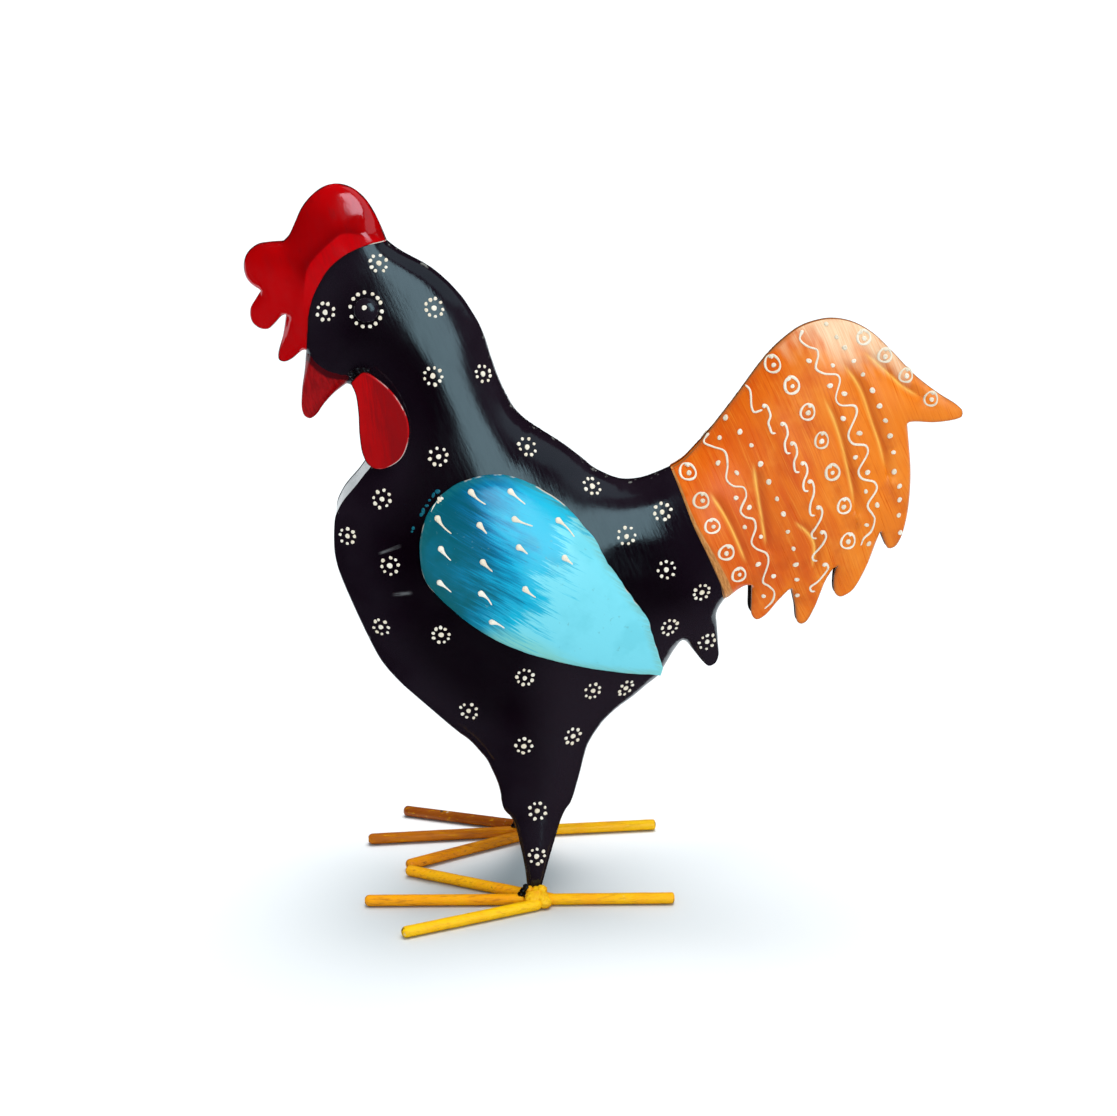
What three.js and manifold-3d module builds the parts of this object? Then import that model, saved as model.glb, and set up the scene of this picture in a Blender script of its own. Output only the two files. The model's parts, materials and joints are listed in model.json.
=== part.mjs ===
// Rooster garden ornament: two dished sheet halves on feet of welded round rod.
// Millimetres, +Z up, the bird looks along -X, its left side is at -Y, the floor is z = 0.
// Side outlines are lists of [along X, up Z, edge depth, edge softness]:
// edge depth is how far the sheet's edge stands off the mid plane y = 0,
// edge softness is how gently the dish starts there (1 rolls over at once, 7 starts flat).

import * as THREE from 'three';
import { mergeVertices } from 'three/addons/utils/BufferGeometryUtils.js';
import Module from 'manifold-3d';

// ---------------------------------------------------------------- driving dimensions
const SHEET = 1.0;            // thickness of the sheet metal
const LAP_GAP = 0.6;          // clearance between lapped sheets
const FACET = 15;             // lattice of the dished surfaces
const RIM_STEP = 7;           // longest facet edge along an outline
const DISH_BODY = 0.26;       // how strongly the body sheet is dished
const DISH_TAIL = 0.10;       // the tail is flatter
const DISH_LEG = 1.5;         // the leg is rolled to a narrow channel
const DISH_WING = 0.14;
const LAP_COMB = 4.5;         // how far the head sheet runs under the comb
const LAP_TAIL = 7;           // how far the body sheet runs under the tail
const WATTLE_T = 1.2;         // wattle plate
const ROD_R = 3.1;            // painted 6 mm rod
const ROD_SIDES = 12;         // one facet of each rod lies on the floor
const ROD_CHAMFER = 0.9;
const COPE_GAP = 0.3;         // clearance of a coped rod end
const ANKLE_TOP = 11.2;       // top of the weld lump
const EYE_R = 5, EYE_H = 2.4;

// feet, seen from above [x, y] of the left one; the right one is its mirror image
const TOE_FRONT_TIP = [-133.5, -37.2];
const TOE_BACK_TIP = [32.1, -45.3];
const TOE_OUTER_TIP = [-113.3, -73.8];
const TOE_INNER_TIP = [-111.0, -3.2];
const TOE_CROSSING = [-33.2, -42.1];
const ANKLE = [-40.5, -40.4];

// ---------------------------------------------------------------- outlines of the dished half
const BACK = [
  [-113.3, 350.6, 1.3, 1.0], [-111.1, 348.6, 1.3, 1.0], [-109.2, 347.1, 1.3, 1.0], [-105.3, 344.5, 1.3, 1.0], [-94.4, 338.4, 1.3, 1.0], [-88.0, 333.8, 1.3, 1.0],
  [-80.1, 326.1, 1.3, 1.0], [-75.1, 319.9, 1.3, 1.0], [-71.2, 313.8, 1.3, 1.0], [-67.7, 307.6, 1.3, 1.0], [-65.2, 301.4, 1.3, 1.0], [-63.3, 295.1, 1.3, 1.0],
  [-61.3, 288.9, 1.3, 1.0], [-59.3, 282.6, 1.3, 1.0], [-56.8, 276.3, 1.3, 1.0], [-53.8, 270.0, 1.3, 1.0], [-50.3, 263.6, 1.3, 1.0], [-44.1, 257.1, 1.3, 1.0],
  [-34.8, 250.6, 1.3, 1.0], [-25.0, 244.0, 1.3, 1.0], [-16.6, 237.4, 1.3, 1.0], [-8.8, 230.8, 1.3, 1.0], [-4.0, 228.1, 1.3, 1.0], [2.3, 225.2, 1.3, 1.0],
  [6.5, 224.1, 1.3, 1.0], [11.2, 224.0, 1.3, 1.0], [17.5, 225.0, 1.3, 1.0], [24.3, 227.5, 1.3, 1.0], [31.2, 230.6, 1.3, 1.0],
];
const TAIL = [
  [37.3, 234.3, 1.3, 1.0], [43.0, 240.2, 1.3, 1.0], [53.0, 252.3, 1.3, 1.0], [65.3, 268.9, 1.3, 1.0], [77.3, 285.9, 1.3, 1.0], [85.8, 295.4, 1.3, 1.0],
  [96.9, 304.0, 1.3, 1.0], [106.8, 307.4, 1.3, 1.0], [114.3, 308.1, 1.3, 1.0], [124.3, 306.1, 1.3, 1.0], [134.8, 300.4, 1.3, 1.0], [145.4, 290.7, 1.3, 1.0],
  [157.6, 278.4, 1.3, 1.0], [170.9, 268.1, 1.3, 1.0], [181.6, 261.3, 1.3, 1.0], [184.5, 258.2, 1.3, 1.0], [184.3, 255.3, 1.6, 1.0], [181.9, 254.1, 1.8, 1.0],
  [170.4, 252.5, 2.0, 1.0], [158.8, 253.1, 2.4, 1.0], [155.1, 252.7, 3.0, 1.0], [156.7, 240.8, 3.0, 1.0], [158.3, 227.3, 3.0, 1.0], [158.6, 214.0, 3.0, 1.0],
  [157.6, 200.8, 3.0, 1.0], [154.9, 189.4, 3.0, 1.0], [151.9, 184.8, 3.0, 1.0], [148.7, 184.1, 3.0, 1.0], [145.9, 188.8, 3.0, 1.0], [143.9, 193.9, 3.0, 1.0],
  [141.8, 187.6, 3.0, 1.0], [136.8, 172.8, 3.0, 1.0], [130.7, 161.3, 3.0, 1.0], [127.3, 158.6, 3.0, 1.0], [123.8, 157.4, 3.0, 1.0], [121.0, 159.6, 3.0, 1.0],
  [120.1, 167.7, 3.0, 1.0], [121.1, 175.9, 3.0, 1.0], [116.1, 167.8, 3.0, 1.0], [110.2, 151.5, 3.0, 1.0], [105.9, 143.5, 3.0, 1.0], [103.5, 142.4, 3.0, 1.0],
  [101.3, 143.6, 3.0, 1.0], [99.6, 153.1, 3.0, 1.0], [97.1, 163.3, 3.0, 1.0], [90.3, 156.1, 3.0, 1.0], [82.8, 148.0, 3.0, 1.0], [78.7, 146.4, 3.0, 1.0],
  [75.9, 149.3, 3.0, 1.0], [75.3, 158.4, 3.0, 1.0], [75.2, 166.5, 3.0, 1.0], [71.8, 166.3, 2.4, 1.0], [67.1, 163.2, 1.8, 1.0], [61.8, 157.8, 1.4, 1.0],
];
const RUMP = [
  [57.6, 149.7, 1.3, 1.0], [58.0, 142.3, 1.3, 1.0], [58.8, 132.5, 1.3, 1.0], [59.3, 124.5, 1.3, 1.0], [57.5, 120.2, 1.3, 1.0], [54.2, 118.8, 1.3, 1.0],
  [50.9, 121.5, 1.3, 1.0], [45.3, 128.6, 1.3, 1.0], [41.4, 133.5, 1.3, 1.0], [39.0, 135.0, 1.3, 1.0], [35.0, 129.1, 1.3, 1.0], [30.3, 120.6, 1.3, 1.0],
  [27.1, 115.0, 1.6, 1.0],
];
const BELLY_REAR = [
  [20.4, 110.1, 3.5, 2.0], [12.7, 104.4, 6.0, 3.0], [3.8, 98.9, 9.0, 4.0], [-3.4, 93.1, 11.5, 4.0], [-8.4, 87.1, 13.5, 4.0], [-12.3, 80.9, 15.0, 3.5],
  [-14.5, 74.5, 16.2, 3.0], [-16.5, 67.0, 17.8, 2.5], [-18.5, 60.1, 19.3, 2.0], [-20.6, 53.6, 21.0, 1.5],
];
const LEG_REAR = [
  [-22.3, 50.0, 22.2, 1.0], [-25.4, 45.9, 23.6, 1.0], [-27.5, 41.8, 25.0, 1.0], [-30.7, 32.8, 28.2, 1.0], [-33.7, 23.9, 31.2, 1.0], [-36.6, 14.7, 34.4, 1.0],
  [-37.7, 11.5, 36.5, 1.0],
];
const LEG_FRONT = [
  [-46.8, 11.5, 36.5, 1.0], [-47.5, 17.6, 33.6, 1.0], [-49.5, 28.0, 30.0, 1.0], [-52.0, 38.0, 26.6, 1.0], [-54.4, 43.8, 24.8, 1.0], [-57.9, 47.5, 23.6, 1.0],
  [-59.4, 52.4, 22.2, 1.0], [-59.9, 56.6, 21.0, 1.0], [-61.4, 62.2, 19.8, 1.0], [-64.2, 68.8, 18.6, 1.0],
];
const BELLY_FRONT = [
  [-66.8, 74.4, 17.8, 2.5], [-69.9, 78.5, 17.2, 3.1], [-76.2, 85.7, 16.6, 3.8], [-82.6, 90.9, 16.2, 4.4], [-89.9, 97.7, 16.0, 5.1], [-97.2, 104.8, 16.0, 5.7],
  [-104.4, 111.8, 16.0, 6.4], [-111.1, 118.5, 16.0, 7.0], [-117.3, 125.8, 16.0, 7.0], [-121.8, 132.3, 16.0, 7.0], [-125.3, 139.2, 16.0, 7.0], [-131.1, 152.7, 16.0, 7.0],
  [-136.4, 166.1, 16.0, 7.0], [-141.2, 179.3, 16.0, 7.0], [-143.0, 185.9, 16.0, 7.0], [-144.0, 192.5, 16.0, 7.0], [-144.1, 198.9, 16.0, 7.0], [-143.8, 205.4, 16.0, 7.0],
  [-143.0, 211.3, 16.0, 7.0],
];
const CHEST = [
  [-141.2, 215.5, 16.0, 7.0], [-138.8, 219.6, 16.0, 7.0], [-136.1, 223.0, 16.0, 7.0], [-132.0, 227.6, 16.0, 7.0], [-127.3, 233.6, 16.0, 7.0], [-124.1, 237.5, 16.0, 7.0],
];
const THROAT = [
  [-122.3, 242.0, 15.2, 7.0], [-121.9, 248.4, 13.6, 6.0], [-122.5, 255.7, 11.4, 5.0], [-123.9, 263.4, 8.8, 4.0], [-125.8, 270.2, 6.2, 3.0], [-129.8, 275.3, 3.6, 2.0],
  [-135.3, 278.1, 1.8, 1.0],
];
const BEAK = [
  [-141.9, 273.1, 1.4, 1.0], [-147.4, 267.3, 1.4, 1.0], [-151.7, 261.6, 1.4, 1.0], [-154.9, 259.8, 1.4, 1.0], [-157.4, 261.1, 1.4, 1.0], [-158.7, 264.8, 1.4, 1.0],
  [-158.3, 274.4, 1.4, 1.0], [-156.4, 286.1, 1.4, 1.0], [-155.0, 296.2, 1.4, 1.0],
];
const COMB = [
  [-157.6, 295.2, 1.3, 1.0], [-163.0, 290.9, 1.3, 1.0], [-166.6, 289.5, 1.3, 1.0], [-169.1, 290.4, 1.3, 1.0], [-169.5, 293.5, 1.3, 1.0], [-166.5, 304.0, 1.3, 1.0],
  [-164.7, 314.2, 1.3, 1.0], [-167.2, 312.6, 1.3, 1.0], [-170.9, 308.8, 1.3, 1.0], [-174.0, 306.4, 1.3, 1.0], [-178.1, 306.8, 1.3, 1.0], [-181.9, 310.3, 1.3, 1.0],
  [-182.4, 316.7, 1.3, 1.0], [-179.5, 321.7, 1.3, 1.0], [-176.6, 326.1, 1.3, 1.0], [-180.1, 328.3, 1.3, 1.0], [-183.5, 332.2, 1.3, 1.0], [-184.7, 338.4, 1.3, 1.0],
  [-182.9, 344.4, 1.3, 1.0], [-177.7, 348.9, 1.3, 1.0], [-170.6, 350.2, 1.3, 1.0], [-164.6, 350.5, 1.3, 1.0], [-161.8, 353.3, 1.3, 1.0], [-158.6, 359.5, 1.3, 1.0],
  [-154.8, 367.1, 1.3, 1.0], [-149.4, 373.3, 1.3, 1.0], [-143.4, 377.3, 1.3, 1.0], [-136.9, 378.5, 1.3, 1.0], [-130.3, 376.8, 1.3, 1.0], [-124.3, 372.2, 1.3, 1.0],
  [-119.6, 365.5, 1.3, 1.0], [-115.9, 357.3, 1.3, 1.0],
];

// visible border of the comb on the head, front to back, and of the tail on its root, top to bottom
const COMB_BORDER = [[-155.0, 296.2], [-153.9, 305.3], [-152.7, 316.0], [-150.3, 324.3], [-146.0, 332.5],
  [-140.3, 339.5], [-134.0, 344.3], [-126.9, 347.7], [-120.4, 349.7], [-113.3, 350.6]];
const TAIL_BORDER = [[31.2, 230.6], [35.2, 220.4], [41.7, 203.2], [50.0, 185.8], [57.3, 169.7], [61.8, 157.8]];
const WING = [[-59.0, 233.9], [-71.3, 233.2], [-81.2, 229.8], [-88.7, 224.6], [-94.4, 217.4], [-98.2, 208.7],
  [-100.2, 198.4], [-99.8, 188.2], [-97.0, 179.1], [-90.9, 171.3], [-82.3, 162.9], [-72.5, 154.6],
  [-60.0, 146.7], [-46.2, 140.2], [-32.3, 135.2], [-14.3, 129.5], [2.8, 124.5], [20.0, 119.6],
  [26.6, 118.4], [27.8, 122.5], [23.4, 137.1], [17.2, 154.8], [8.4, 169.6], [-3.0, 186.1],
  [-10.5, 198.3], [-19.1, 210.3], [-29.1, 219.9], [-40.3, 227.2], [-50.4, 232.0]];
const WATTLE = [[-126.0, 287.6], [-129.5, 285.4], [-132.8, 282.0], [-130.5, 276.3], [-129.4, 266.9], [-129.1, 255.2],
  [-127.8, 245.5], [-124.9, 239.8], [-119.9, 237.8], [-113.5, 239.5], [-108.3, 243.6], [-105.0, 251.1],
  [-104.2, 259.8], [-106.1, 267.1], [-111.5, 276.4], [-118.6, 283.2]];
const EYE = [-124.2, 317.7];
const WATTLE_WELD = [-128, 287.6, 15.3];

// ---------------------------------------------------------------- helpers
const wasm = await Module();
wasm.setup();

const smooth = (a, b, x) => {
  const t = Math.min(1, Math.max(0, (x - a) / (b - a)));
  return t * t * (3 - 2 * t);
};

function solid(geometry) {
  const g = geometry.clone();
  for (const name of Object.keys(g.attributes)) if (name !== 'position') g.deleteAttribute(name);
  const m = mergeVertices(g, 1e-4);
  return new wasm.Manifold(new wasm.Mesh({
    numProp: 3,
    vertProperties: new Float32Array(m.attributes.position.array),
    triVerts: new Uint32Array(m.index.array),
  }));
}

function toGeometry(manifold) {
  const m = manifold.getMesh();
  const g = new THREE.BufferGeometry();
  const p = new Float32Array(m.numVert * 3);
  for (let i = 0; i < m.numVert; i++) for (let k = 0; k < 3; k++) p[3 * i + k] = m.vertProperties[i * m.numProp + k];
  g.setAttribute('position', new THREE.BufferAttribute(p, 3));
  g.setIndex(new THREE.BufferAttribute(new Uint32Array(m.triVerts), 1));
  g.computeVertexNormals();
  return g;
}

function mirrored(geometry, axis) {
  const g = geometry.index ? geometry.clone() : mergeVertices(geometry);
  const p = g.attributes.position;
  for (let i = 0; i < p.count; i++) p.setComponent(i, axis, -p.getComponent(i, axis));
  const t = g.index.array;
  for (let i = 0; i < t.length; i += 3) [t[i + 1], t[i + 2]] = [t[i + 2], t[i + 1]];
  g.computeVertexNormals();
  return g;
}

// Depth of a dished sheet over its outline. The edge depth and softness are carried smoothly inwards,
// and a dome grows from the edge like a soap film under a little pressure.
function dish(outline, step, pressure) {
  const x0 = Math.min(...outline.map((p) => p[0])) - 3 * step;
  const z0 = Math.min(...outline.map((p) => p[1])) - 3 * step;
  const nx = Math.ceil((Math.max(...outline.map((p) => p[0])) + 3 * step - x0) / step) + 1;
  const nz = Math.ceil((Math.max(...outline.map((p) => p[1])) + 3 * step - z0) / step) + 1;
  const n = nx * nz;
  const at = (i, j) => i * nz + j;
  const rows = Array.from({ length: nz }, () => []);
  const cols = Array.from({ length: nx }, () => []);
  outline.forEach((a, k) => {
    const b = outline[(k + 1) % outline.length];
    const [za, zb] = [Math.min(a[1], b[1]), Math.max(a[1], b[1])];
    for (let j = Math.ceil((za - z0) / step); j < Math.ceil((zb - z0) / step); j++)
      rows[j].push(a[0] + ((z0 + j * step - a[1]) * (b[0] - a[0])) / (b[1] - a[1]));
    const [xa, xb] = [Math.min(a[0], b[0]), Math.max(a[0], b[0])];
    for (let i = Math.ceil((xa - x0) / step); i < Math.ceil((xb - x0) / step); i++)
      cols[i].push(a[1] + ((x0 + i * step - a[0]) * (b[1] - a[1])) / (b[0] - a[0]));
  });
  const inside = new Uint8Array(n);
  for (let i = 0; i < nx; i++) for (let j = 0; j < nz; j++)
    inside[at(i, j)] = rows[j].filter((x) => x < x0 + i * step).length % 2;
  const east = new Float64Array(n).fill(1), west = new Float64Array(n).fill(1);
  const north = new Float64Array(n).fill(1), south = new Float64Array(n).fill(1);
  rows.forEach((list, j) => list.forEach((x) => {
    const u = (x - x0) / step, i = Math.floor(u), f = u - i;
    if (inside[at(i, j)] && !inside[at(i + 1, j)]) east[at(i, j)] = Math.max(f, 0.05);
    if (inside[at(i + 1, j)] && !inside[at(i, j)]) west[at(i + 1, j)] = Math.max(1 - f, 0.05);
  }));
  cols.forEach((list, i) => list.forEach((z) => {
    const u = (z - z0) / step, j = Math.floor(u), f = u - j;
    if (inside[at(i, j)] && !inside[at(i, j + 1)]) north[at(i, j)] = Math.max(f, 0.05);
    if (inside[at(i, j + 1)] && !inside[at(i, j)]) south[at(i, j + 1)] = Math.max(1 - f, 0.05);
  }));
  const edge = new Float64Array(n), soft = new Float64Array(n), dome = new Float64Array(n);
  for (let i = 0; i < nx; i++) for (let j = 0; j < nz; j++) {
    if (inside[at(i, j)]) { edge[at(i, j)] = 8; soft[at(i, j)] = 2; continue; }
    const x = x0 + i * step, z = z0 + j * step;
    let best = Infinity;
    outline.forEach((a, k) => {
      const b = outline[(k + 1) % outline.length];
      const dx = b[0] - a[0], dz = b[1] - a[1];
      const t = Math.min(1, Math.max(0, ((x - a[0]) * dx + (z - a[1]) * dz) / (dx * dx + dz * dz)));
      const d = (x - a[0] - t * dx) ** 2 + (z - a[1] - t * dz) ** 2;
      if (d < best) {
        best = d;
        edge[at(i, j)] = a[2] + t * (b[2] - a[2]);
        soft[at(i, j)] = a[3] + t * (b[3] - a[3]);
      }
    });
  }
  const relax = 2 / (1 + Math.sin(Math.PI / (0.6 * Math.max(nx, nz))));
  for (let pass = 0; pass < 2.4 * Math.max(nx, nz); pass++)
    for (let i = 1; i < nx - 1; i++) for (let j = 1; j < nz - 1; j++) {
      const c = at(i, j);
      if (!inside[c]) continue;
      const e = at(i + 1, j), w = at(i - 1, j), no = at(i, j + 1), so = at(i, j - 1);
      edge[c] += relax * ((edge[e] + edge[w] + edge[no] + edge[so]) / 4 - edge[c]);
      soft[c] += relax * ((soft[e] + soft[w] + soft[no] + soft[so]) / 4 - soft[c]);
      const te = east[c], tw = west[c], tn = north[c], ts = south[c];
      const sum = (2 * dome[e] * inside[e]) / (te * (te + tw)) + (2 * dome[w] * inside[w]) / (tw * (te + tw))
        + (2 * dome[no] * inside[no]) / (tn * (tn + ts)) + (2 * dome[so] * inside[so]) / (ts * (tn + ts))
        + pressure(x0 + i * step, z0 + j * step) * step * step;
      dome[c] += relax * (sum / (2 / (te * tw) + 2 / (tn * ts)) - dome[c]);
    }
  const read = (f, x, z) => {
    const u = Math.min(nx - 1.001, Math.max(0, (x - x0) / step)), w = Math.min(nz - 1.001, Math.max(0, (z - z0) / step));
    const i = Math.floor(u), j = Math.floor(w), a = u - i, b = w - j;
    return f[at(i, j)] * (1 - a) * (1 - b) + f[at(i + 1, j)] * a * (1 - b) + f[at(i, j + 1)] * (1 - a) * b + f[at(i + 1, j + 1)] * a * b;
  };
  return (x, z) => {
    const e = read(soft, x, z);
    return read(edge, x, z) + Math.sqrt(Math.max(0, read(dome, x, z)) + e * e) - e;
  };
}

// triangles over a set of points in the plane, none of them holding another point in its circle
function triangulate(points) {
  const all = [...points, [-5000, -5000], [9000, -5000], [0, 9000]];
  const n = points.length;
  const circle = (a, b, c) => {
    const [ax, ay] = all[a], [bx, by] = all[b], [cx, cy] = all[c];
    const d = 2 * (ax * (by - cy) + bx * (cy - ay) + cx * (ay - by));
    const a2 = ax * ax + ay * ay, b2 = bx * bx + by * by, c2 = cx * cx + cy * cy;
    const x = (a2 * (by - cy) + b2 * (cy - ay) + c2 * (ay - by)) / d;
    const y = (a2 * (cx - bx) + b2 * (ax - cx) + c2 * (bx - ax)) / d;
    return [x, y, (ax - x) ** 2 + (ay - y) ** 2];
  };
  let list = [{ t: [n, n + 1, n + 2], c: circle(n, n + 1, n + 2) }];
  for (let k = 0; k < n; k++) {
    const edges = new Map();
    list = list.filter(({ t, c }) => {
      if ((points[k][0] - c[0]) ** 2 + (points[k][1] - c[1]) ** 2 >= c[2]) return true;
      for (let e = 0; e < 3; e++) {
        const [u, v] = [t[e], t[(e + 1) % 3]];
        if (edges.has(`${v},${u}`)) edges.delete(`${v},${u}`); else edges.set(`${u},${v}`, [u, v]);
      }
      return false;
    });
    for (const [u, v] of edges.values()) list.push({ t: [u, v, k], c: circle(u, v, k) });
  }
  return list.map((q) => q.t).filter((t) => t.every((v) => v < n));
}

const within = (p, outline) => {
  let odd = false;
  outline.forEach((a, k) => {
    const b = outline[(k + 1) % outline.length];
    if ((a[1] > p[1]) !== (b[1] > p[1]) && p[0] < a[0] + ((p[1] - a[1]) * (b[0] - a[0])) / (b[1] - a[1])) odd = !odd;
  });
  return odd;
};

// A sheet of even thickness behind the surface depth(x, z), trimmed to an outline. Two rows of points follow
// the outline, where the sheet rolls over, and a lattice fills the rest.
// Made lying down: x along, y up the bird, z towards its left side.
function sheet(corners, depth, facet = FACET) {
  const rim = [];
  corners.forEach((a, k) => {
    const b = corners[(k + 1) % corners.length];
    const parts = Math.max(1, Math.ceil(Math.hypot(b[0] - a[0], b[1] - a[1]) / RIM_STEP));
    for (let i = 0; i < parts; i++) rim.push([a[0] + ((b[0] - a[0]) * i) / parts, a[1] + ((b[1] - a[1]) * i) / parts]);
  });
  const area = rim.reduce((sum, a, k) => { const b = rim[(k + 1) % rim.length]; return sum + a[0] * b[1] - b[0] * a[1]; }, 0);
  if (area < 0) rim.reverse();
  const loop = [...rim, rim[0]];
  const points = rim.map((p, k) => {
    // a hair of unevenness keeps four points off one circle
    const j = 0.01 * Math.sin(12.9 * k);
    return [p[0] + j, p[1] - j];
  });
  const place = (p, clear, apart) => {
    if (!within(p, rim) || near(p, loop) < clear) return;
    for (let k = rim.length; k < points.length; k++) if (Math.hypot(points[k][0] - p[0], points[k][1] - p[1]) < apart) return;
    points.push(p);
  };
  for (const [off, apart] of [[3.2, 5.5], [9, 8]])
    rim.forEach((p, k) => {
      const a = rim[(k + rim.length - 1) % rim.length], b = rim[(k + 1) % rim.length];
      const len = Math.hypot(b[0] - a[0], b[1] - a[1]);
      place([p[0] - ((b[1] - a[1]) / len) * off, p[1] + ((b[0] - a[0]) / len) * off], off * 0.85, apart);
    });
  const lo = [0, 1].map((k) => Math.min(...rim.map((p) => p[k]))), hi = [0, 1].map((k) => Math.max(...rim.map((p) => p[k])));
  for (let j = 0; lo[1] + j * facet * 0.87 < hi[1]; j++)
    for (let i = 0; lo[0] + i * facet < hi[0]; i++)
      place([lo[0] + (i + (j % 2) / 2) * facet + 0.07 * Math.sin(i + 3 * j), lo[1] + j * facet * 0.87], 14, facet * 0.7);
  const faces = triangulate(points)
    .filter((t) => within([0, 1].map((k) => (points[t[0]][k] + points[t[1]][k] + points[t[2]][k]) / 3), rim))
    .map((t) => {
      const [a, b, c] = t.map((v) => points[v]);
      return (b[0] - a[0]) * (c[1] - a[1]) - (b[1] - a[1]) * (c[0] - a[0]) > 0 ? t : [t[0], t[2], t[1]];
    });
  const n = points.length;
  const position = new Float32Array(n * 6);
  points.forEach((p, k) => {
    const d = depth(p[0], p[1]);
    position.set([p[0], p[1], d], 3 * k);
    position.set([p[0], p[1], d - SHEET], 3 * (n + k));
  });
  const open = new Map();
  for (const t of faces) for (let e = 0; e < 3; e++) {
    const [u, v] = [t[e], t[(e + 1) % 3]];
    if (open.has(`${v},${u}`)) open.delete(`${v},${u}`); else open.set(`${u},${v}`, [u, v]);
  }
  if (open.size !== rim.length) throw new Error(`the rim has ${rim.length} edges and the sheet ${open.size}`);
  const index = [];
  for (const t of faces) index.push(...t, t[0] + n, t[2] + n, t[1] + n);
  for (const [u, v] of open.values()) index.push(u, u + n, v, v, u + n, v + n);
  const g = new THREE.BufferGeometry();
  g.setAttribute('position', new THREE.BufferAttribute(position, 3));
  g.setIndex(index);
  g.computeVertexNormals();
  return g;
}

// A flat strip bent along a path of [x, z, half width], its face just inside the path
function strip(path, inward) {
  const n = path.length - 1;
  const g = new THREE.BoxGeometry(n, 2, 2, n, 1, 1);
  const p = g.attributes.position;
  for (let i = 0; i < p.count; i++) {
    const k = Math.round(p.getX(i) + n / 2);
    const a = path[Math.max(0, k - 1)], b = path[Math.min(n, k + 1)], q = path[k];
    const len = Math.hypot(b[0] - a[0], b[1] - a[1]);
    const nxv = (-(b[1] - a[1]) / len) * inward, nzv = ((b[0] - a[0]) / len) * inward;
    const off = p.getZ(i) > 0 ? 0.2 : 0.2 + SHEET;
    const side = -p.getY(i) * q[2];
    p.setXYZ(i, q[0] + nxv * off, q[1] + nzv * off, side);
  }
  return g;
}

// A round rod lying on the floor between two points seen from above, one facet down
function rod(a, b, radius, chamfer) {
  const length = Math.hypot(b[0] - a[0], b[1] - a[1]);
  const g = new THREE.LatheGeometry([
    new THREE.Vector2(0, 0), new THREE.Vector2(radius - chamfer, 0), new THREE.Vector2(radius, chamfer),
    new THREE.Vector2(radius, length - chamfer), new THREE.Vector2(radius - chamfer, length), new THREE.Vector2(0, length),
  ], ROD_SIDES, Math.PI / ROD_SIDES);
  const along = new THREE.Vector3((b[0] - a[0]) / length, (b[1] - a[1]) / length, 0);
  const up = new THREE.Vector3(0, 0, 1);
  const m = new THREE.Matrix4().makeBasis(new THREE.Vector3().crossVectors(along, up), along, up);
  m.setPosition(a[0], a[1], ROD_R * Math.cos(Math.PI / ROD_SIDES));
  g.applyMatrix4(m);
  return mergeVertices(stripped(g), 1e-4);
}

function stripped(g) {
  g.deleteAttribute('normal');
  g.deleteAttribute('uv');
  return g;
}

const near = (p, line) => {
  let best = Infinity;
  for (let k = 0; k + 1 < line.length; k++) {
    const [a, b] = [line[k], line[k + 1]];
    const dx = b[0] - a[0], dz = b[1] - a[1];
    const t = Math.min(1, Math.max(0, ((p[0] - a[0]) * dx + (p[1] - a[1]) * dz) / (dx * dx + dz * dz)));
    best = Math.min(best, Math.hypot(p[0] - a[0] - t * dx, p[1] - a[1] - t * dz));
  }
  return best;
};

// a line moved sideways, less at its two ends
function shifted(line, distance, ends) {
  return line.map((q, k) => {
    const a = line[Math.max(0, k - 1)], b = line[Math.min(line.length - 1, k + 1)];
    const len = Math.hypot(b[0] - a[0], b[1] - a[1]);
    const d = k === 0 || k === line.length - 1 ? ends : distance;
    return [q[0] - ((b[1] - a[1]) / len) * d, q[1] + ((b[0] - a[0]) / len) * d];
  });
}

// ---------------------------------------------------------------- the dished half
const WHOLE = [...BACK, ...TAIL, ...RUMP, ...BELLY_REAR, ...LEG_REAR, ...LEG_FRONT, ...BELLY_FRONT, ...CHEST, ...THROAT, ...BEAK, ...COMB];
const depth = dish(WHOLE, 2.5, (x, z) => {
  const tail = smooth(40, 85, x) * smooth(130, 160, z);
  const leg = smooth(66, 8, z);
  const f = DISH_BODY + (DISH_TAIL - DISH_BODY) * tail;
  return f * (1 - leg) + DISH_LEG * leg;
});
const lap = SHEET + LAP_GAP;

const underTail = shifted(TAIL_BORDER, LAP_TAIL, 0.5);
const underComb = shifted(COMB_BORDER, LAP_COMB, 0.3);
const panelOutline = [...BACK, ...underTail, ...RUMP, ...BELLY_REAR, ...LEG_REAR, ...LEG_FRONT,
  ...BELLY_FRONT, ...CHEST, ...THROAT, ...BEAK, ...underComb];
const panel = sheet(panelOutline, depth);

const comb = sheet([...COMB_BORDER.slice().reverse(), ...COMB],
  (x, z) => depth(x, z) + lap * (1 - smooth(8, 18, near([x, z], COMB_BORDER))), 9);

const tail = sheet([...TAIL_BORDER.slice(0, -1).reverse(), ...TAIL],
  (x, z) => depth(x, z) + lap * (1 - smooth(12, 30, near([x, z], TAIL_BORDER))));

const wingDome = dish(WING.map((p) => [...p, 0, 1]), 2.5, () => DISH_WING);
const wingSeat = (x, z) => {
  const d = depth(x, z), floor = 11;
  return (d + floor + Math.hypot(d - floor, 2)) / 2 + lap;
};
const wing = sheet(WING, (x, z) => wingSeat(x, z) + wingDome(x, z));

const wattle = new THREE.ExtrudeGeometry(new THREE.Shape(WATTLE.map((q) => new THREE.Vector2(q[0], q[1]))), { depth: WATTLE_T, bevelEnabled: false });
{
  const p = wattle.attributes.position;
  for (let i = 0; i < p.count; i++)
    p.setZ(i, 20.9 + 0.06 * (p.getX(i) + 118) - 0.03 * (p.getY(i) - 260) - WATTLE_T + p.getZ(i));
}
const wattleWeld = new THREE.SphereGeometry(1, 10, 7);
wattleWeld.scale(4.2, 3.2, 2.4);
wattleWeld.translate(...WATTLE_WELD);

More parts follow.
